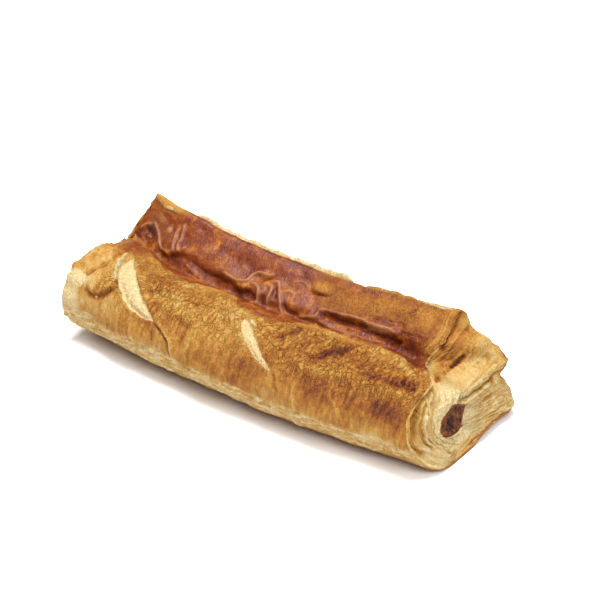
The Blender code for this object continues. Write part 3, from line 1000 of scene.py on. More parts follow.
        # Peel, fold and wrinkle lines raise the skin; their crests are paled as painted light and their hollows
        # darkened as painted shade.
        peel = grain.ridges(at(bend_x, bend_g, 2.9, 2.3)) - 0.5
        marks.height[:] += 0.80 * peel * calm * front * (0.15 + 0.85 * upper) * (1.0 - 0.4 * right)
        marks.bake[:] -= 0.17 * peel * calm * upper
        slant = bend_x + 0.35 * bend_g
        fold = grain.ridges(at(slant, bend_g, 6.5, 15.0, 5.0), 2) - 0.5
        marks.height[:] += 1.10 * fold * front * (0.35 + 0.65 * upper)
        marks.bake[:] -= 0.16 * fold * upper
        wrinkle = grain.ridges(at(slant, bend_g, 1.9, 6.0, 15.0)) - 0.5
        marks.height[:] += (0.42 + 0.95 * right) * wrinkle * calm * (0.25 * front + 0.75 * upper)
        marks.bake[:] -= (0.14 + 0.24 * right) * wrinkle * upper
        streak = grain.cloud(at(bend_x, g, 1.5, 9.0, 2.0), 3)
        marks.height[:] += 0.22 * streak * lower
        marks.bake[:] += 0.15 * streak * lower
        marks.bake[:] += 0.12 * grain.cloud(at(x, g, 13.0, 10.0, 4.0), 3) * front
        marks.height[:] += 0.07 * grain.cloud(at(x, g, 1.2, 1.1), 3) * front
        scaled = step(30.0, 44.0, g) * step(72.0, 62.0, g)
        marks.scaly[:] = front * (0.12 + 0.88 * scaled * (0.35 + 0.65 * calm)) * step(8.0, 20.0, x)
        for patch in self.patches:
            patch.paint(bend_x, bend_g, marks)
        for stroke in self.strokes:
            stroke.paint(bend_x * 0.4 + x * 0.6, bend_g * 0.4 + g * 0.6, marks)
        self._lay_leaves(x, g, marks)
        self._glaze_top(x, g, marks)
        self._tear_ridge(x, g, marks)
        self._edge_panel(x, g, marks)
        self._layer_back(x, g, marks)
        self._press_mouth(x, g, marks)
        for slash in self.slashes:
            slash.paint(x, g, marks, flakes)
        marks.scaly[:] *= np.clip(1.0 - 1.4 * marks.raw, 0.0, 1.0)
        return marks

    def _lay_leaves(self, x: Array, g: Array, marks: Marks) -> None:
        """Let thin leaves of skin peel in steps, most of all along the foot of the front."""
        top = 25.0 + 1.6 * self.flakes.cloud(at(x, g, 9.0, 30.0, 1.0), 3) - 0.02 * (x - 60.0)
        foot = step(11.0, 16.0, g) * step(top + 1.6, top - 1.4, g)
        rough = self.flakes.cloud(at(x, g, 4.5, 1.9), 4)
        crumb = self.flakes.cloud(at(x, g, 1.3, 0.9, 12.0), 3)
        marks.height[:] += foot * (0.55 * rough + 0.30 * crumb - 0.3)
        marks.bake[:] -= foot * (0.20 + 0.10 * crumb)
        marks.raw[:] = np.maximum(marks.raw, foot * np.clip(0.42 + 0.55 * rough + 0.25 * crumb, 0.0, 0.9))
        level = 3.0 * self.flakes.cloud(at(x, g, 9.0, 6.0, 6.0), 3)
        part = level - np.floor(level)
        terrace = (np.floor(level) + step(0.80, 1.0, part)) / 3.0
        skin = step(24.0, 30.0, g) * step(64.0, 58.0, g)
        marks.height[:] += 0.28 * terrace * skin
        marks.bake[:] -= 0.10 * bell(part, 0.93, 0.08) * skin

    def _glaze_top(self, x: Array, g: Array, marks: Marks) -> None:
        """Brush egg wash over the valley and the panel behind it, where it pools, wrinkles and browns."""
        grain = self.grain
        path = np.array(self.glaze_edge)
        edge = np.interp(x, path[:, 0], path[:, 1]) + 1.3 * grain.cloud(at(x, g, 5.0, 5.0, 8.0), 3)
        above = step(-1.6, 1.2, g - edge)
        behind = step(95.0, 91.5, g + 0.8 * grain.value(at(x, g, 3.0, 3.0, 1.0)))
        right = step(84.0, 100.0, x + 0.5 * (g - 78.0))
        weight = above * behind
        thin = 0.5 + 0.5 * grain.cloud(at(x, g, 9.0, 6.0, 12.0), 3)
        marks.glaze[:] += weight * (1.0 - right * step(75.0, 79.0, g) * (0.72 + 0.3 * thin))
        marks.scaly[:] = marks.scaly * (1.0 - above) + 0.22 * weight * right
        marks.bake[:] += weight * (0.12 + 0.10 * right)
        swell = grain.cloud(at(x, g, 13.0, 8.0, 14.0), 2)
        ripple = grain.cloud(at(x, g, 3.6, 2.8, 18.0), 2)
        marks.height[:] = marks.height * (1.0 - 0.6 * weight) + weight * (0.55 * swell + 0.10 * ripple)
        # Fine wrinkles on the thin glaze at the right, with crests paled as painted light and hollows darkened as
        # painted shade.
        fine = grain.ridges(at(x, g, 2.2, 1.6, 16.0)) - 0.5
        marks.height[:] += weight * right * 0.22 * fine
        marks.bake[:] -= weight * right * 0.14 * fine
        panel = Marks.blank(x.shape)
        warped_x = x + 0.7 * grain.value(at(x, g, 4.0, 4.0, 20.0))
        warped_g = g + 0.7 * grain.value(at(x, g, 4.0, 4.0, 24.0))
        for mark in PANEL_MARKS:
            mark.paint(warped_x, warped_g, panel)
        marks.height[:] += panel.height
        marks.bake[:] += panel.bake
        marks.glaze[:] += panel.glaze
        marks.raw[:] += panel.raw
        marks.pool[:] += panel.pool * weight

    def _tear_ridge(self, x: Array, g: Array, marks: Marks) -> None:
        """Roughen the ridge, where the sheet ends in torn leaves."""
        ragged = self.flakes.cloud(at(x, g, 3.5, 2.0, 30.0), 4)
        edge = window(g, 91.5, 99.0, 1.2)
        marks.height[:] += edge * (0.15 + 0.30 * step(93.0, 96.0, g)) * ragged
        marks.bake[:] = marks.bake * (1.0 - edge) + edge * (0.24 + 0.25 * ragged)

    def _edge_panel(self, x: Array, g: Array, marks: Marks) -> None:
        """Show the leaves of the top sheet where its panel ends at the right."""
        inward = x[-1][None] - x
        panel = step(69.0, 73.0, g) * step(94.0, 92.0, g)
        band = panel * step(6.5, 3.0, inward + 0.8 * self.flakes.value(at(x, g, 3.0, 6.0, 90.0)))
        line = self.flakes.cloud(at(inward, g, 0.9, 12.0, 94.0), 2)
        marks.height[:] += band * 0.5 * line
        marks.glaze[:] *= 1.0 - 0.8 * band
        marks.pool[:] *= 1.0 - band
        marks.bake[:] = marks.bake * (1.0 - band) + band * (0.54 - 0.20 * line)

    def _layer_back(self, x: Array, g: Array, marks: Marks) -> None:
        """Show the edges of the leaves along the cut side at the back."""
        back = step(95.0, 98.0, g) * step(139.0, 136.0, g)
        coarse = self.flakes.cloud(at(x, g, 26.0, 2.1, 33.0), 3)
        fine = self.flakes.cloud(at(x, g, 10.0, 0.9, 37.0), 3)
        crumb = self.flakes.cloud(at(x, g, 2.2, 1.4, 41.0), 3)
        marks.height[:] += back * (0.55 * coarse + 0.25 * fine + 0.20 * crumb)
        level = 0.24 - 0.22 * coarse - 0.10 * fine + 0.28 * bell(g, 117.4, 2.2) + 0.3 * step(131.0, 137.0, g)
        marks.bake[:] = marks.bake * (1.0 - back) + back * level
        ground = step(137.0, 140.0, g) + step(9.0, 5.0, g)
        marks.bake[:] = marks.bake * (1.0 - ground) + ground * (0.62 + 0.12 * coarse)

    def _press_mouth(self, x: Array, g: Array, marks: Marks) -> None:
        """Fold the left end of the front into a slot with a lip below it."""
        wavy_x = x + 0.6 * self.flakes.value(at(x, g, 4.0, 4.0, 71.0))
        wavy_g = g + 0.6 * self.flakes.value(at(x, g, 4.0, 4.0, 73.0))
        for mark in MOUTH_MARKS:
            mark.paint(wavy_x, wavy_g, marks)

    def keys(self) -> Array:
        """Return the keys round a section, closest on the front and the panel; the last repeats the first."""
        total = float(self.form.girth(np.array([self.form.last_corner + 1.0]))[0])
        dense = np.linspace(0.0, total, 5000)
        spacing = np.full(dense.shape, self.ground_spacing)
        spacing[(dense > 8.0) & (dense < 94.0)] = self.front_spacing
        spacing[(dense >= 94.0) & (dense < 138.0)] = self.back_spacing
        count = np.concatenate([[0.0], np.cumsum(np.diff(dense) / spacing[1:])])
        girths = np.interp(np.linspace(0.0, count[-1], round(count[-1]) + 1), count, dense)
        keys = self.form.keys_at(girths)
        keys[-1] = self.form.last_corner + 1.0
        return keys

    def rolled_sheet(self, keys: Array) -> tuple[Array, Marks, Array, Array]:
        """Shape the rolled sheet between the two ends.

        Args:
            keys: Places round the section.

        Returns:
            The points in millimetres, what is painted on them, and their two layer coordinates.
        """
        share = np.linspace(0.0, 1.0, self.stations)
        along = share - self.end_crowding * np.sin(2.0 * math.pi * share) / (2.0 * math.pi) * 4.0
        points = self.form.skin(along, keys)
        x = points[..., 0]
        g = np.broadcast_to(self.form.girth(keys), x.shape)
        marks = self.marks_on_skin(x, g)
        off_ground = step(1.5, 7.0, g) * step(140.0, 136.5, g)
        ends = []
        for row, depth, reach in ((0, 0.9, 1.8), (-1, 0.45, 1.2)):
            near = np.clip(np.abs(x - x[row]) / reach, 0.0, 1.0)
            ends.append(depth * (1.0 - np.sqrt(1.0 - (1.0 - near) ** 2)))
        height = (marks.height - ends[0] - ends[1]) * off_ground
        points = points + normals_of(points) * height[..., None]
        ragged = self.flakes.cloud(at(np.zeros_like(g), g, 1.0, 2.2, 50.0), 3)
        near_right = bell(x - x[-1], 0.0, 2.0)
        near_left = bell(x - x[0], 0.0, 2.0)
        points[..., 0] += off_ground * 0.45 * ragged * (near_right - near_left)
        points[..., 0] -= 1.6 * bell(g, 42.0, 17.0) * step(6.0, 0.0, x - x[0])
        wave = 2.6 + 1.2 * self.flakes.value(at(points[..., 1], x, 5.0, 20.0, 54.0))
        lifted = wave * step(24.0, 33.0, points[..., 1]) * step(10.0, 0.0, x[-1] - x)
        points[..., 2] += lifted * step(7.0, 0.0, points[..., 2])
        points[..., 2] = np.maximum(points[..., 2], 0.0)
        points[:, -1] = points[:, 0]
        return points, marks, np.array(g), np.array(x)

    def build(self, material: bpy.types.Material) -> bpy.types.Object:
        """Build the pastry in place of its CAD solid.

        Args:
            material: The crust finish.

        Returns:
            The closed pastry piece.
        """
        keys = self.keys()
        sheet, sheet_marks, girth, length = self.rolled_sheet(keys)
        right = OpenEnd(self.form, Side.RIGHT, self.rings, self.flakes)
        left = OpenEnd(self.form, Side.LEFT, self.left_rings, self.flakes)
        right_face = right.face(sheet[-1], girth[-1])
        left_face = left.face(sheet[0], girth[0]).flipped()
        bore = self.bore(right_face.points[-1], left_face.points[0])
        skin = Surface(sheet, sheet_marks, girth, length, step(95.0, 98.0, girth) * step(139.0, 136.0, girth))
        whole = Surface.joined((left_face, skin, right_face, bore))
        places = self.form.place(whole.points)
        masks = {
            "bake": whole.marks.bake,
            "glaze": whole.marks.glaze,
            "pool": whole.marks.pool,
            "raw": whole.marks.raw,
            "scaly": whole.marks.scaly,
            "cut": whole.cut,
            "leaf": whole.leaf,
            "run": whole.run,
        }
        mesh = grid_mesh("pastry_crust", places, masks)
        weld(mesh)
        piece = add_piece("pastry_crust", mesh, material)
        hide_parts("pastry")
        return piece

    def bore(self, right_rim: Array, left_rim: Array) -> "Surface":
        """Line the way of the filling through the roll, from the rim at the right to the one at the left."""
        share = np.linspace(0.0, 1.0, self.bore_stations + 2)[1:, None, None]
        points = right_rim[None] * (1.0 - share) + left_rim[None] * share
        bowed = self.form.bow_shift(1.0 - share[..., 0])
        points[..., 1] += bowed
        marks = Marks.blank(points.shape[:2], 0.45)
        blank = np.zeros(points.shape[:2])
        return Surface(points, marks, blank, blank, blank)


@dataclass(frozen=True)
class Surface:
    """A grid of points with what is painted on it and its layer coordinates."""

    points: Array
    marks: Marks
    leaf: Array
    run: Array
    cut: Array

    def flipped(self) -> "Surface":
        """Return the surface with its columns in reverse order."""
        marks = Marks(*(values[::-1] for values in vars(self.marks).values()))
        return Surface(self.points[::-1], marks, self.leaf[::-1], self.run[::-1], self.cut[::-1])

    @classmethod
    def joined(cls, parts: tuple["Surface", ...]) -> "Surface":
        """Return surfaces laid one after another."""
        marks = Marks(*(np.concatenate([vars(part.marks)[name] for part in parts]) for name in vars(parts[0].marks)))
        sides = [np.concatenate([getattr(part, name) for part in parts]) for name in ("leaf", "run", "cut")]
        return cls(np.concatenate([part.points for part in parts]), marks, *sides)


@dataclass
class OpenEnd:
    """An open end of the roll, where the leaves of dough lie round the filling like the rings of an onion."""

    form: RollForm
    side: Side
    rings: int
    grain: Grain
    relax_rounds: int = 500

    def face(self, edge: Array, girth: Array) -> Surface:
        """Shape the end between the skin's edge and the rim of the filling.

        Args:
            edge: The last loop of the skin, whose last point repeats the first.
            girth: How far round the middle section each of its points lies.

        Returns:
            The face, from the ring next to the skin to the rim of the filling.
        """
        flat = self._spread_rings(edge[:, 1:])
        y, z = flat[..., 0], flat[..., 1]
        x = self.form.end_x(self.side, y, z)
        share = np.linspace(0.0, 1.0, self.rings + 1)[:, None]
        x = x + (edge[:, 0] - x[0]) * step(0.35, 0.0, share)
        points, depth = self._space_evenly(np.stack([x, y, z], axis=-1))
        run = np.broadcast_to(girth, depth.shape)
        marks = self._marks(points, depth, run)
        outward = normals_of(points) * self.side.value
        height = marks.height * step(0.0, 0.5, depth) * step(0.0, 2.0, points[..., 2] + depth)
        points = points + outward * height[..., None]
        points[..., 2] = np.maximum(points[..., 2], 0.0)
        points[:, -1] = points[:, 0]
        tongue = step(24.0, 33.0, points[..., 1])
        leaf = depth * (1.0 - tongue) + self._fan(points) * tongue
        run = run * (1.0 - tongue) + points[..., 1] * tongue
        cut = np.ones_like(depth)
        return Surface(points[1:], Marks(*(v[1:] for v in vars(marks).values())), leaf[1:], run[1:], cut[1:])

    @staticmethod
    def _space_evenly(points: Array) -> tuple[Array, Array]:
        """Slide the ring points along their ways inward until they stand evenly; also give their depths."""
        lengths = np.linalg.norm(np.diff(points, axis=0), axis=-1)
        depth = np.concatenate([np.zeros((1, points.shape[1])), np.cumsum(lengths, axis=0)])
        share = np.linspace(0.0, 1.0, points.shape[0])
        spaced = np.empty_like(points)
        for column in range(points.shape[1]):
            places = share * depth[-1, column]
            for axis in range(3):
                spaced[:, column, axis] = np.interp(places, depth[:, column], points[:, column, axis])
        return spaced, share[:, None] * depth[-1]

    def _spread_rings(self, edge: Array) -> Array:
        """Spread rings evenly between the edge and the rim, and relax them so that none cross."""
        centre = np.array((self.form.oval_y, self.form.oval_height))
        offset = edge - centre
        turned = np.unwrap(np.arctan2(offset[:, 1], offset[:, 0]))
        run = np.concatenate([[0.0], np.cumsum(np.linalg.norm(np.diff(edge, axis=0), axis=1))])
        even = turned[0] + (turned[-1] - turned[0]) * run / run[-1]
        angles = np.minimum.accumulate(0.45 * turned + 0.55 * even)
        angles[-1] = angles[0] - 2.0 * math.pi
        rim = self.form.oval(angles - self.form.filling_tilt, 0.0 if self.side is Side.LEFT else 1.0, 0.35)
        share = np.linspace(0.0, 1.0, self.rings + 1)[:, None, None]
        flat = edge[None] * (1.0 - share) + rim[None] * share
        for _ in range(self.relax_rounds):
            loop = flat[:, :-1]
            beside = 0.5 * (np.roll(loop, 1, axis=1) + np.roll(loop, -1, axis=1))
            flat[1:-1, :-1] = 0.5 * beside[1:-1] + 0.25 * (loop[:-2] + loop[2:])
            flat[:, -1] = flat[:, 0]
        return flat

    def _fan(self, points: Array) -> Array:
        """Return the coordinate across the leaves of the tongues, which lie in a fan and step back at the top."""
        back = self.side.value * (self.form.length * max(self.side.value, 0) - points[..., 0])
        return (points[..., 2] - 16.0) * 26.0 / np.maximum(points[..., 1], 20.0) + 0.9 * back + 40.0

    def _marks(self, points: Array, depth: Array, run: Array) -> Marks:
        """Return the leaves, troughs and browned spots of the end."""
        x, y, z = (points[..., axis] for axis in range(3))
        marks = Marks.blank(y.shape, 0.17)
        broad = self.grain.cloud(at(run, depth, 20.0, 2.6, 60.0), 3)
        fine = self.grain.cloud(at(run, depth, 9.0, 0.9, 64.0), 3)
        crumb = self.grain.cloud(at(y, z, 1.7, 1.4, 68.0), 3)
        # The leaves of the end stand out with the noise; their raised parts are paled as painted light and the sunk
        # ones darkened as painted shade.
        marks.height[:] += 0.50 * broad + 0.28 * fine + 0.14 * crumb
        marks.bake[:] += -0.10 * broad - 0.08 * fine
        tongue = step(24.0, 33.0, y)
        sheets = self.grain.cloud(at(y, self._fan(points), 11.0, 1.1, 80.0), 3)
        marks.height[:] += tongue * (0.50 * sheets - 0.30 * broad)
        marks.bake[:] -= tongue * 0.15 * sheets
        under = np.clip(step(136.0, 140.0, run) + step(9.0, 4.0, run), 0.0, 1.0)
        marks.bake[:] += (0.40 + 0.20 * crumb) * step(3.0, 0.6, depth + 1.2 * crumb) * under
        marks.bake[:] += 0.14 * step(1.2, 0.2, depth)
        near = np.hypot((y - self.form.oval_y) / 12.0, (z - self.form.oval_height) / 8.0)
        marks.bake[:] -= 0.12 * step(1.25, 0.8, near)
        marks.raw[:] += 0.9 * step(1.5, 0.85, near)
        marks.height[:] -= 0.4 * step(1.3, 0.7, near)
        for mark in SEAM_MARKS:
            mark.paint(y, z, marks)
        for furrow in TERRACE_MARKS:
            furrow.paint(points, marks)
        for mark in LEAF_MARKS[self.side]:
            mark.paint(run, depth, marks)
        return marks


SEAM_MARKS: tuple[Stroke | Patch, ...] = (
    # The dark sunk seam between the two tongues is painted shadow under the upper tongue.
    Stroke(((24.5, 16.7), (29.1, 17.0), (33.5, 17.2), (39.0, 16.6), (45.5, 17.3), (50.1, 17.5), (55.0, 19.0)), -2.0, 0.55, 0.6, bake=0.34, fade=0.06),
    Stroke(((26.0, 18.4), (33.0, 18.9), (40.0, 18.3), (47.0, 19.0), (53.0, 20.4)), 0.6, 0.7, 0.7, bake=-0.05),
    Stroke(((26.5, 15.3), (33.0, 15.6), (40.0, 15.4), (47.0, 15.4)), 0.7, 0.7, 0.7, bake=-0.05),
    Stroke(((48.4, 24.6), (47.6, 21.4), (46.0, 18.9)), -0.5, 0.6, 0.6, bake=0.12),
    Patch((44.6, 16.0), (1.9, 1.7), height=-0.3, bake=0.50),
    Patch((46.0, 25.0), (12.0, 6.0), bake=0.14),
    Patch((44.8, 28.8), (1.8, 1.4), height=0.4, bake=0.08),
    Patch((44.0, 26.6), (1.6, 1.2), height=0.4, bake=0.10),
    Patch((39.0, 11.6), (3.5, 0.8), height=-0.5, bake=0.22),
    Patch((40.0, 5.6), (3.0, 0.8), height=-0.5, bake=0.25),
    Patch((22.8, 6.1), (0.8, 0.7), height=-0.3, bake=0.35),
    Patch((15.9, 5.7), (0.7, 0.6), height=-0.3, bake=0.30),
)


TERRACE_MARKS: tuple[Furrow, ...] = (
    # The sunk furrows are darkened, partly browning and partly painted shade in the groove at the panel's end and in
    # the slot on the terrace; the broad raised ones are browned.
    Furrow(((143.9, 47.5, 36.5), (143.8, 44.9, 33.1), (144.0, 40.3, 31.2), (143.6, 36.6, 28.0)), 1.0, -0.9, bake=0.46),
    Furrow(((143.6, 36.6, 28.0), (142.8, 34.3, 25.6), (142.0, 31.2, 24.7)), 0.9, -0.4, bake=0.20),
    Furrow(((149.8, 41.1, 24.2), (148.9, 38.7, 22.7), (148.5, 35.9, 22.0)), 0.8, -1.3, bake=0.70),
    Furrow(((148.5, 35.9, 22.0), (148.5, 30.2, 21.8)), 0.7, -0.4, bake=0.24),
    Furrow(((149.3, 24.9, 22.2), (148.4, 26.8, 22.2)), 1.2, -0.4, bake=0.55),
    Furrow(((147.0, 47.6, 30.5), (147.0, 43.0, 29.5), (146.8, 38.9, 26.6), (146.0, 35.0, 24.0)), 3.6, 0.9, bake=0.32),
    Furrow(((146.5, 33.0, 23.6), (146.5, 28.0, 23.4)), 3.0, 0.5, bake=0.26),
)

LEAF_MARKS: dict[Side, tuple[Stroke | Patch, ...]] = {
    Side.LEFT: (
        Stroke(((12.0, 3.6), (40.0, 3.8), (66.0, 2.6)), -1.1, 1.1, 1.1, bake=0.12),
        Stroke(((56.0, 0.6), (80.0, 0.6), (92.0, 0.6)), 1.2, 3.6, 3.6, bake=0.34, glaze=0.9, pool=0.25, fade=0.2),
    ),
    Side.RIGHT: (
        Stroke(((9.0, 0.7), (30.0, 0.7), (68.0, 0.7)), 0.5, 0.7, 0.7, bake=-0.04, fade=0.05),
        # The deep trough between the outer and inner sheet edges, and the sunk lines between the leaves below it, are
        # darkened as painted shade.
        Stroke(((15.0, 2.2), (23.0, 3.2), (27.0, 3.9), (32.0, 3.6), (36.5, 2.4), (42.0, 1.8), (52.0, 2.4), (62.0, 2.6)), -2.0, 1.6, 1.5, bake=0.40, fade=0.1),
        Stroke(((18.0, 6.0), (25.3, 6.6), (35.4, 5.0), (41.0, 3.6), (47.0, 3.6)), 0.6, 0.7, 0.6, bake=0.06, fade=0.1),
        Stroke(((16.0, 7.0), (26.0, 7.9), (36.0, 6.0), (46.0, 4.0)), -0.8, 0.5, 0.5, bake=0.28, fade=0.1),
        Stroke(((4.0, 5.4), (11.3, 7.9), (18.1, 8.0), (27.6, 9.0), (39.3, 7.0), (46.1, 4.6), (54.0, 3.2), (61.0, 2.6)), 0.9, 0.6, 0.6, bake=-0.10, fade=0.06),
        Stroke(((15.0, 9.2), (27.0, 10.4), (38.0, 8.2), (50.0, 5.2)), -0.55, 0.5, 0.5, bake=0.16),
        Stroke(((15.8, 10.4), (26.5, 11.9), (37.1, 9.6), (47.7, 6.4)), 0.4, 0.5, 0.5),
        Stroke(((14.0, 11.6), (26.0, 13.0), (38.2, 11.0), (50.0, 8.0)), -0.4, 0.4, 0.4, bake=0.12),
        Stroke(((70.0, 0.0), (82.0, 0.0), (94.0, 0.0)), 0.0, 1.8, 1.8, bake=0.26, fade=0.06),
        Patch((23.0, 2.6), (3.0, 2.2), height=0.9, bake=-0.22, raw=0.4),
        Patch((19.0, 4.6), (2.4, 1.8), height=0.7, bake=-0.20, raw=0.4),
    ),
}


MOUTH_MARKS: tuple[Stroke | Patch, ...] = (
    Stroke(((4.6, 39.8), (7.0, 41.0), (8.4, 44.6), (9.1, 48.2), (10.2, 52.0)), -2.0, 0.8, 0.8, bake=0.22, fade=0.14),
    Stroke(((-1.0, 40.3), (2.6, 42.8), (4.4, 46.6), (4.6, 51.2)), 1.2, 1.4, 1.6, bake=0.08, fade=0.1),
    # Painted shade: a dark sunk line under the overhanging lip.
    Stroke(((9.5, 35.4), (13.0, 34.6), (15.8, 35.0), (19.2, 37.6), (20.9, 41.6), (19.9, 46.1)), -1.8, 0.9, 1.6, bake=0.36, fade=0.14),
    Patch((13.8, 42.6), (4.6, 5.6), height=1.5, bake=-0.04),
    Patch((11.5, 38.0), (3.0, 2.2), height=0.6, bake=-0.14),
    Patch((4.5, 54.5), (3.6, 3.6), height=1.1, bake=0.02),
    Patch((9.5, 57.0), (3.4, 3.2), height=0.6, bake=0.06),
    Stroke(((11.8, 50.5), (10.0, 54.0), (8.2, 60.5)), -0.8, 0.7, 0.7, bake=0.18),
    Patch((8.5, 66.0), (9.0, 6.5), height=0.4, glaze=0.85, pool=0.25),
    # The raised spots with negative pool values are painted glints in the glazed crater; the sunk one is darkened
    # pooled glaze.
    Patch((4.5, 66.5), (1.6, 1.4), height=0.7, pool=-0.5),
    Patch((10.5, 67.5), (1.4, 1.6), height=0.5, pool=-0.4),
    Patch((7.8, 62.5), (1.3, 1.3), height=-0.6, pool=0.7),
    Patch((3.8, 37.4), (4.6, 2.3), height=0.3, raw=0.95, bake=-0.10),
    Patch((4.0, 29.8), (2.4, 2.6), height=0.3, raw=0.4),
    Patch((6.2, 25.4), (1.4, 2.6), height=0.2, raw=0.4),
    Patch((6.0, 32.0), (9.0, 8.0), bake=-0.10),
    Patch((7.0, 50.0), (9.0, 10.0), bake=-0.12),
    Patch((15.0, 34.6), (0.8, 0.7), height=0.3, raw=0.8),
)


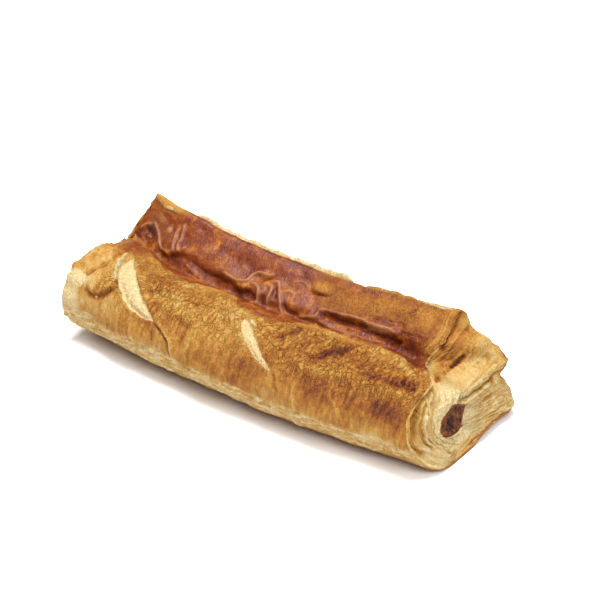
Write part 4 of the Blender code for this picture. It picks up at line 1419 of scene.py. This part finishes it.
# Marks on the glazed panel. Negative pool values paint pale sheen lines and glints on the glaze as painted highlights;
# positive ones darken pooled glaze in the valley and furrows.
PANEL_MARKS: tuple[Stroke | Patch, ...] = (
    Stroke(((6.5, 80.2), (9.1, 80.2), (11.7, 78.4), (14.7, 75.4), (18.0, 73.5), (21.4, 73.5), (23.5, 75.2), (22.7, 77.0), (21.6, 79.1), (21.0, 81.6), (20.2, 85.0)), 0.85, 0.5, 0.55, pool=-0.75, fade=0.08),
    Stroke(((22.0, 86.6), (23.3, 84.0), (24.2, 80.8), (24.1, 79.1), (25.3, 76.7), (26.8, 77.5), (27.8, 79.6)), 0.7, 0.5, 0.5, pool=-0.55, fade=0.1),
    Stroke(((15.0, 73.0), (19.5, 71.6), (24.5, 73.8), (27.0, 75.4), (31.9, 75.4), (38.0, 74.7), (44.6, 73.8), (49.9, 73.3), (54.9, 72.4), (60.0, 71.3), (66.0, 72.6)), -1.3, 1.5, 2.9, pool=1.1, fade=0.16),
    Stroke(((60.0, 72.6), (62.8, 72.2), (65.0, 73.4)), -0.8, 1.2, 1.2, pool=0.7),
    Stroke(((29.8, 74.2), (33.0, 73.0), (35.2, 72.3), (38.0, 71.4), (42.0, 70.0)), 0.5, 0.4, 0.4, pool=-0.9, fade=0.2),
    Stroke(((48.0, 76.4), (53.0, 75.6), (55.1, 75.0), (58.0, 75.5), (60.0, 77.0), (60.8, 80.0), (63.4, 81.8), (68.5, 82.4)), 0.9, 0.7, 0.6, pool=-0.9, fade=0.1),
    Stroke(((61.5, 77.4), (64.0, 76.8), (66.9, 74.8), (68.0, 71.0), (67.6, 66.0)), 0.9, 0.7, 0.6, pool=-0.9, fade=0.1),
    Stroke(((68.8, 80.0), (72.4, 80.9), (75.0, 78.0), (75.9, 75.6), (78.4, 71.8), (82.4, 67.0)), 0.9, 0.6, 0.6, pool=-0.8, fade=0.1),
    Stroke(((75.4, 77.2), (78.4, 79.1), (81.6, 79.1)), 0.6, 0.6, 0.6, pool=-0.7),
    Stroke(((67.4, 79.1), (70.6, 78.3), (72.3, 74.6), (72.2, 70.2)), 0.55, 0.5, 0.5, pool=-0.9),
    Stroke(((63.4, 79.0), (66.0, 80.4), (69.6, 81.6)), -0.9, 0.7, 0.7, pool=0.75),
    Stroke(((72.4, 79.0), (73.6, 76.2), (75.2, 73.4)), -1.0, 0.9, 0.9, pool=0.8),
    Stroke(((78.4, 74.0), (80.4, 72.0), (83.2, 71.0), (86.4, 72.4)), -0.8, 0.9, 0.9, pool=0.8),
    Stroke(((69.4, 74.8), (70.2, 70.4), (69.4, 66.0)), -0.5, 0.8, 0.8, pool=0.5),
    Stroke(((86.0, 71.4), (89.8, 71.8), (93.3, 73.4), (93.6, 76.2)), 0.9, 0.6, 0.6, pool=-0.9, raw=0.12),
    Stroke(((92.6, 75.6), (95.6, 77.0), (100.0, 77.0), (107.3, 77.2), (112.5, 77.0), (117.2, 76.2), (121.7, 76.4), (126.9, 76.0)), 1.1, 0.8, 0.6, glaze=0.5, pool=-0.8, fade=0.05),
    Stroke(((94.4, 75.0), (97.2, 75.2), (102.7, 75.1), (108.2, 75.1), (113.3, 75.0), (119.0, 74.1), (124.3, 73.5), (129.2, 73.0)), -2.2, 1.0, 1.5, glaze=0.8, pool=1.15, fade=0.08),
    Stroke(((94.0, 72.8), (99.2, 71.4), (102.7, 70.9), (108.9, 70.8), (113.0, 70.8), (117.9, 70.8), (123.4, 71.2)), 0.9, 0.8, 1.0, glaze=0.3, pool=-0.45, fade=0.1),
    Stroke(((111.6, 74.8), (118.1, 75.4), (124.2, 76.6)), 0.25, 0.7, 0.7, pool=-1.5),
    Stroke(((110.0, 78.8), (118.8, 79.2), (128.2, 79.1)), 0.0, 1.6, 1.6, glaze=0.9),
    Stroke(
        ((122.0, 73.6), (129.0, 72.6), (133.0, 70.5), (138.6, 65.0), (147.0, 59.6)),
        -1.5,
        3.4,
        2.8,
        glaze=0.8,
        pool=1.0,
        fade=0.2,
    ),
    Stroke(((84.9, 81.6), (86.9, 81.6), (89.1, 81.5), (93.8, 83.2)), -0.9, 0.5, 0.6, bake=0.35, pool=0.8),
    Patch((89.0, 85.0), (4.2, 2.6), height=0.3, glaze=-0.5, bake=-0.14),
    Stroke(((77.0, 82.8), (79.9, 85.0), (83.5, 84.2), (85.7, 82.2)), 0.5, 0.5, 0.5, pool=-0.5),
    Patch((81.0, 82.6), (3.0, 1.8), height=0.2, glaze=-0.35, bake=0.10),
    Stroke(((125.6, 84.2), (128.8, 87.0)), -0.5, 0.5, 0.5, bake=0.16),
    Patch((15.5, 79.0), (5.6, 4.4), height=0.7, pool=-0.10),
    Patch((17.0, 81.5), (1.0, 0.9), height=0.3, pool=-1.4),
    Patch((9.4, 83.2), (4.2, 2.2), height=0.2, glaze=-0.6, bake=0.06),
    Patch((33.0, 83.5), (14.0, 6.0), height=0.5),
    Patch((34.0, 79.4), (6.0, 2.0), pool=-0.20),
    Patch((52.0, 78.4), (7.0, 2.0), pool=-0.20),
    Patch((88.5, 70.5), (5.0, 2.5), pool=0.5),
    Patch((8.3, 75.2), (3.6, 3.2), height=-1.7, pool=0.95),
    Patch((7.2, 74.0), (1.1, 0.9), height=0.9, pool=-0.6),
    Patch((9.8, 73.0), (0.9, 0.8), height=0.7, pool=-0.4),
    Stroke(((2.6, 75.0), (4.7, 77.8), (7.4, 80.2)), 0.7, 0.7, 0.7, pool=-0.8),
    Patch((11.0, 91.0), (9.5, 3.6), glaze=-1.3, bake=-0.22),
    Patch((12.6, 88.4), (2.4, 0.6), glaze=-0.8, raw=1.0, height=0.3),
    Stroke(((10.8, 87.6), (14.6, 87.8)), -0.6, 0.5, 0.5, pool=0.4),
    Patch((55.0, 81.6), (1.3, 1.0), height=0.3, bake=-0.2, glaze=-0.5),
    Patch((98.0, 84.0), (12.0, 5.0), height=0.4),
    Patch((126.0, 81.0), (12.0, 6.0), height=0.3, bake=0.05),
    Patch((112.0, 84.5), (12.0, 4.2), bake=-0.14),
    Patch((134.0, 84.0), (8.0, 4.0), bake=-0.18),
    Patch((128.0, 88.0), (14.0, 3.0), bake=-0.12),
    Patch((106.0, 89.5), (17.0, 2.4), glaze=0.55, pool=0.2),
)


class View(Enum):
    """The way in which the foot of a leaf is dropped on the crust."""

    RIGHT_END = "right end"
    LEFT_END = "left end"
    RIDGE = "ridge"
    FRONT = "front"


@dataclass(frozen=True)
class Leaf:
    """Thin torn leaf of dough that stands up along a path on the crust.

    The path holds (y, z) at the ends, (x, distance behind the ridge) on the ridge, and (x, z) at the front.
    """

    view: View
    path: Path
    rise: float
    lean: tuple[float, float, float] = (0.0, 0.0, 0.0)
    thickness: float = 0.5
    ragged: float = 0.5
    bake: float = 0.2
    raw: float = 0.0
    taper: float = 0.12


STAND = (0.0, 1.6, 3.0)
OUT = (1.0, 0.0, 0.2)
DOWN_OUT = (1.0, 0.0, -0.6)

LEAVES: tuple[Leaf, ...] = (
    Leaf(View.RIDGE, ((24.0, 1.2), (34.0, 1.5), (48.0, 1.6), (62.0, 1.3)), 2.0, STAND, 0.8, 0.25, 0.04, 1.1),
    Leaf(View.RIDGE, ((34.0, 2.0), (52.0, 2.1), (70.0, 2.0)), 2.8, STAND, 0.7, 0.25, 0.04, 1.1),
    Leaf(View.RIDGE, ((56.0, 1.3), (70.0, 1.6), (84.0, 1.5), (99.0, 1.1)), 2.0, STAND, 0.8, 0.25, 0.04, 1.1),
    Leaf(View.RIDGE, ((72.0, 2.0), (86.0, 2.1), (98.0, 1.9)), 2.6, STAND, 0.7, 0.25, 0.04, 1.1),
    Leaf(View.RIDGE, ((104.0, 1.2), (116.0, 1.5), (126.0, 1.2)), 1.0, STAND, 0.6, 0.3, 0.3),
    Leaf(View.RIDGE, ((126.0, 1.0), (134.0, 1.1), (141.0, 1.0)), 0.6, STAND, 0.6, 0.3, 0.1, 0.9),

    Leaf(
        View.RIGHT_END,
        ((2.0, 8.8), (-2.4, 12.7), (-3.8, 16.9), (-2.7, 20.3), (0.0, 23.4), (3.1, 25.6), (8.2, 27.9), (13.5, 28.3)),
        1.0, OUT, 0.6, 0.35, 0.28,
    ),
    Leaf(View.RIGHT_END, ((3.0, 10.5), (0.8, 14.5), (1.4, 18.0), (2.9, 21.2), (4.8, 25.0), (8.0, 27.4)), 0.7, OUT, 0.5, 0.5, 0.36),
    Leaf(
        View.RIGHT_END,
        ((14.7, 3.3), (8.0, 7.0), (4.8, 10.5), (3.6, 15.3), (5.8, 21.6), (8.9, 26.0), (14.1, 27.8), (20.5, 26.8)),
        1.1, OUT, 0.55, 0.4, 0.12,
    ),
    Leaf(View.RIGHT_END, ((14.0, 5.5), (7.6, 9.5), (5.4, 14.4), (6.6, 19.3), (10.5, 24.4), (17.6, 25.4)), 0.6, OUT, 0.45, 0.5, 0.14),
    Leaf(View.RIGHT_END, ((11.5, 8.0), (7.2, 13.9), (8.2, 18.6), (11.8, 22.6), (17.0, 23.6)), 0.45, OUT, 0.4, 0.5, 0.16),
    Leaf(View.RIGHT_END, ((24.0, 3.0), (17.0, 5.2), (11.0, 8.6)), 0.5, OUT, 0.4, 0.5, 0.16),

    Leaf(View.RIGHT_END, ((26.0, 17.6), (33.5, 18.0), (39.0, 17.5), (45.3, 18.1), (50.1, 18.4), (54.2, 19.6)), 0.9, DOWN_OUT, 0.5, 0.4, 0.16),
    Leaf(View.RIGHT_END, ((26.6, 15.4), (34.9, 15.8), (43.1, 15.7)), 0.8, OUT, 0.5, 0.4, 0.10),
    Leaf(View.RIGHT_END, ((36.0, 13.8), (44.0, 13.2), (52.4, 11.3)), 0.8, OUT, 0.5, 0.7, 0.14),
    Leaf(View.RIGHT_END, ((29.8, 12.4), (37.0, 11.5), (45.7, 10.7), (53.6, 8.8)), 0.8, OUT, 0.5, 0.7, 0.2),
    Leaf(View.RIGHT_END, ((31.0, 10.2), (42.0, 9.2), (53.0, 7.0)), 0.7, OUT, 0.5, 0.7, 0.12),
    Leaf(View.RIGHT_END, ((29.0, 8.4), (36.4, 8.0), (46.7, 6.4), (53.2, 5.2)), 0.8, OUT, 0.5, 0.7, 0.2),
    Leaf(View.RIGHT_END, ((27.0, 6.4), (36.0, 6.0), (45.0, 4.8), (52.0, 3.8)), 0.7, OUT, 0.5, 0.7, 0.14),
    Leaf(View.RIGHT_END, ((22.0, 2.4), (29.7, 3.0), (37.6, 3.6), (44.4, 3.4), (52.0, 2.8)), 0.8, DOWN_OUT, 0.6, 0.85, 0.6),
)


@dataclass
class Leaves:
    """The thin torn leaves along the ridge and round the right end, laid on the finished crust."""

    form: RollForm
    spacing: float = 0.5
    sunk: float = 0.5
    profile: tuple[tuple[float, float], ...] = (
        (0.5, -1.0), (0.5, 0.4), (0.36, 0.8), (0.0, 1.0), (-0.36, 0.8), (-0.5, 0.4), (-0.5, -1.0), (0.0, -1.2),
        (0.5, -1.0),
    )
    grain: Grain = field(default_factory=lambda: Grain(83))

    def build(self, crust: bpy.types.Object, material: bpy.types.Material) -> bpy.types.Object:
        """Build all the leaves as one piece.

        Args:
            crust: The finished crust that they stand on.
            material: The crust finish.

        Returns:
            The piece with the leaves.
        """
        shape = bmesh.new()
        shape.from_mesh(crust.data)
        tree = BVHTree.FromBMesh(shape)
        shape.free()
        ribbons = [self._ribbon(leaf, tree, 11.0 * number) for number, leaf in enumerate(LEAVES)]
        breaks = tuple(int(end) for end in np.cumsum([len(points) for points, _ in ribbons])[:-1] - 1)
        points = np.concatenate([points for points, _ in ribbons])
        masks = {name: np.concatenate([marks[name] for _, marks in ribbons]) for name in ribbons[0][1]}
        mesh = grid_mesh("pastry_leaves", points, masks, breaks)
        weld(mesh, 1e-7)
        return add_piece("pastry_leaves", mesh, material)

    def _rays(self, view: View, first: Array, second: Array) -> tuple[Array, tuple[float, float, float]]:
        """Return the starts and the way of the rays that find the feet of a leaf."""
        form = self.form
        far = np.full(first.shape, 400.0)
        if view is View.RIGHT_END:
            starts, way = (far, first, second), (-1.0, 0.0, 0.0)
        elif view is View.LEFT_END:
            starts, way = (-far, first, second), (1.0, 0.0, 0.0)
        elif view is View.FRONT:
            starts, way = (first, -far, second), (0.0, 1.0, 0.0)

        else:
            starts, way = (first, form.ridge_y + form.bow_shift(first / form.length) + second, far), (0.0, 0.0, -1.0)
        return form.place(np.stack(starts, axis=-1)), way

    def _feet(self, leaf: Leaf, tree: BVHTree, seed: float) -> tuple[Array, Array]:
        """Return the smoothed feet of a leaf along its path and the crust's normals there."""
        path = np.array(leaf.path)
        run = np.concatenate([[0.0], np.cumsum(np.linalg.norm(np.diff(path, axis=0), axis=1))])
        count = max(8, round(run[-1] / self.spacing))
        places = np.linspace(0.0, run[-1], count)
        wobble = 0.3 * self.grain.value(at(places, np.full(count, seed), 3.0, 1.0))
        rows = [np.interp(places, run, path[:, axis]) for axis in (0, 1)]
        feet, normals = [], []
        starts, way = self._rays(leaf.view, rows[0] + 0.5 * wobble, rows[1] + wobble)
        for start in starts:
            hit, normal, _, _ = tree.ray_cast(Vector(start), Vector(way))
            if hit is not None:
                feet.append(hit)
                normals.append(normal)
        return self._smooth(np.array(feet), 2), self._smooth(np.array(normals), 6)

    @staticmethod
    def _smooth(rows: Array, rounds: int) -> Array:
        """Return rows averaged with their neighbours, with both ends kept."""
        for _ in range(rounds):
            inner = 0.25 * rows[:-2] + 0.5 * rows[1:-1] + 0.25 * rows[2:]
            rows = np.concatenate([rows[:1], inner, rows[-1:]])
        return rows

    def _ribbon(self, leaf: Leaf, tree: BVHTree, seed: float) -> tuple[Array, dict[str, Array]]:
        """Shape one leaf as a thin closed ribbon and give its masks."""
        feet, normals = self._feet(leaf, tree, seed)
        along = np.gradient(feet, axis=0)
        along /= np.linalg.norm(along, axis=1, keepdims=True)
        upward = normals + np.array(leaf.lean)
        upward -= np.sum(upward * along, axis=1, keepdims=True) * along
        upward /= np.linalg.norm(upward, axis=1, keepdims=True)
        side = np.cross(along, upward)
        steps = np.linalg.norm(np.diff(feet, axis=0), axis=1) / MM
        run = np.concatenate([[0.0], np.cumsum(steps)])
        share = run / run[-1]
        taper = np.sqrt(np.clip(np.minimum(share, 1.0 - share) / leaf.taper, 0.0, 1.0))
        seeds = np.full(run.shape, seed)
        torn = 1.0 - leaf.ragged * np.clip(0.5 + 0.9 * self.grain.cloud(at(run, seeds, 4.0, 1.0), 3), 0.0, 1.0)
        curl = 0.3 * self.grain.value(at(run, seeds, 7.0, 1.0, 5.0))
        across = np.array([place[0] for place in self.profile])
        height = np.array([place[1] for place in self.profile])
        raised = np.where(height > 0.0, leaf.rise * torn[:, None], self.sunk) * height * taper[:, None]
        sideways = leaf.thickness * across * taper[:, None] + curl[:, None] * np.clip(raised, 0.0, None)
        points = feet[:, None] + MM * (side[:, None] * sideways[..., None] + upward[:, None] * raised[..., None])
        tip = np.broadcast_to(np.clip(height, 0.0, 1.0), raised.shape)
        grain = self.grain.cloud(at(run, seeds, 1.6, 1.0, 9.0), 2)[:, None]
        blank = np.zeros(raised.shape)
        masks = {
            "bake": leaf.bake + 0.14 * tip + 0.10 * grain,
            "glaze": blank,
            "pool": blank,
            "raw": leaf.raw * (1.0 - 0.4 * tip) + 0.2 * leaf.raw * grain,
            "scaly": blank,
            "cut": np.ones(raised.shape),
            "leaf": np.clip(raised, 0.0, None),
            "run": np.broadcast_to(run[:, None], raised.shape),
        }
        return points, masks


@dataclass
class Filling:
    """Minced filling that runs through the roll and shows at both ends."""

    form: RollForm
    around: int = 120
    cap_rings: int = 22
    tube_stations: int = 30
    crumb_height: float = 1.0
    grain: Grain = field(default_factory=lambda: Grain(47))

    def build(self, material: bpy.types.Material) -> bpy.types.Object:
        """Build the filling in place of its CAD solid.

        Args:
            material: The mince finish.

        Returns:
            The closed filling piece.
        """
        angles = np.linspace(0.0, -2.0 * math.pi, self.around + 1)
        left, left_rim = self._cap(Side.LEFT, angles)
        right, right_rim = self._cap(Side.RIGHT, angles)
        share = np.linspace(0.0, 1.0, self.tube_stations)
        tube = np.zeros((self.tube_stations, self.around + 1, 3))
        for station, along in enumerate(share):
            tube[station, :, 1:] = self.form.oval(angles, float(along))
        tube[..., 0] = left[0, :, 0] + (right[0, :, 0] - left[0, :, 0]) * share[:, None]
        points = np.concatenate([left[::-1], tube[1:-1], right])
        rim = np.concatenate([left_rim[::-1], np.zeros(tube[1:-1].shape[:2]), right_rim])
        mesh = grid_mesh("filling_mince", self.form.place(points), {"rim": rim})
        weld(mesh)
        piece = add_piece("filling_mince", mesh, material)
        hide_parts("filling")
        return piece

    def _cap(self, side: Side, angles: Array) -> tuple[Array, Array]:
        """Shape one end of the filling, from its rim to its middle, with crumbs of meat standing out."""
        share = np.linspace(1.0, 0.0, self.cap_rings)[:, None]
        oval = self.form.oval(angles, 0.0 if side is Side.LEFT else 1.0)
        centre = 0.5 * (oval.min(axis=0) + oval.max(axis=0))
        flat = centre + (oval - centre)[None] * share[..., None]
        y, z = flat[..., 0], flat[..., 1]
        near, second = self.grain.cells(at(y, z, 2.3, 1.9))
        crumbs = np.clip(second - near, 0.0, 0.6) / 0.6 + 0.35 * self.grain.cloud(at(y, z, 0.9, 0.9), 2)
        inner = step(1.0, 0.80, share)
        height = inner * (self.crumb_height * (crumbs - 0.35)) - self.form.filling_recess
        x = self.form.end_x(side, y, z) + side.value * height
        return np.stack([x, y, z], axis=-1), np.broadcast_to(bell(share, 1.0, 0.10), x.shape)


@dataclass
class Studio:
    """White table under soft light, with the camera looking down on the right end."""

    azimuth: float = math.radians(36.0)
    elevation: float = math.radians(32.0)
    distance: float = 1.0
    lens: float = 162.0
    target: tuple[float, float, float] = (-0.0005, 0.00254, 0.015)
    shift_right: float = 0.00556
    shift_up: float = 0.01407

    def build(self) -> None:
        """Set the floor, the light and the camera."""
        self._floor()
        self._light()
        self._camera()

    def _floor(self) -> None:
        """Lay a wide plain table under the roll."""
        shape = bmesh.new()
        bmesh.ops.create_grid(shape, x_segments=1, y_segments=1, size=3.0)
        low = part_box("pastry")[0][2]
        bmesh.ops.translate(shape, verts=shape.verts, vec=(0.0, 0.0, low - 0.0001))
        mesh = bpy.data.meshes.new("table_top")
        shape.to_mesh(mesh)
        shape.free()
        mesh.materials.append(FloorFinish().make())
        table = bpy.data.objects.new("table_top", mesh)
        bpy.context.scene.collection.objects.link(table)

    def _light(self) -> None:
        """Hang one large soft light above and behind, a fill at the front, and a bright plain room."""
        scene = bpy.context.scene
        scene.view_settings.view_transform = "Standard"
        scene.view_settings.look = "None"
        world = bpy.data.worlds.new("white_room")
        scene.world = world
        world.use_nodes = True
        back = world.node_tree.nodes["Background"]
        back.inputs["Color"].default_value = (1.0, 1.0, 1.0, 1.0)
        back.inputs["Strength"].default_value = 0.26
        lamps = (
            ("key_light", (-0.15, 0.08, 1.15), 0.6, 20.5),
            ("right_light", (0.80, -0.45, 1.05), 0.8, 14.0),
        )
        for name, place, size, power in lamps:
            light = bpy.data.lights.new(name, "AREA")
            light.size = size
            light.energy = power
            lamp = bpy.data.objects.new(name, light)
            lamp.location = place
            lamp.rotation_euler = Vector(place).to_track_quat("Z", "Y").to_euler()
            scene.collection.objects.link(lamp)

    def _camera(self) -> None:
        """Place the camera."""
        side = Vector((math.cos(self.azimuth), math.sin(self.azimuth), 0.0))
        ahead = Vector((-math.sin(self.azimuth), math.cos(self.azimuth), 0.0))
        forward = ahead * math.cos(self.elevation) - Vector((0.0, 0.0, math.sin(self.elevation)))
        upward = side.cross(forward)
        aim = Vector(self.target) + side * self.shift_right + upward * self.shift_up
        data = bpy.data.cameras.new("view")
        data.lens = self.lens
        camera = bpy.data.objects.new("view", data)
        camera.matrix_world = Matrix.Translation(aim - forward * self.distance) @ (
            Matrix((side, upward, -forward)).transposed().to_4x4()
        )
        bpy.context.scene.collection.objects.link(camera)
        bpy.context.scene.camera = camera


def main() -> None:
    """Build the pastry, its filling and the studio, in that order."""
    logging.basicConfig(level=logging.INFO, format="%(name)s: %(message)s")
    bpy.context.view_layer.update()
    dough_colour_group()
    form = RollForm()
    finish = CrustFinish().make()
    crust = Crust(form).build(finish)
    Leaves(form).build(crust, finish)
    Filling(form).build(FillingFinish().make())
    Studio().build()


if __name__ == "__main__":
    main()
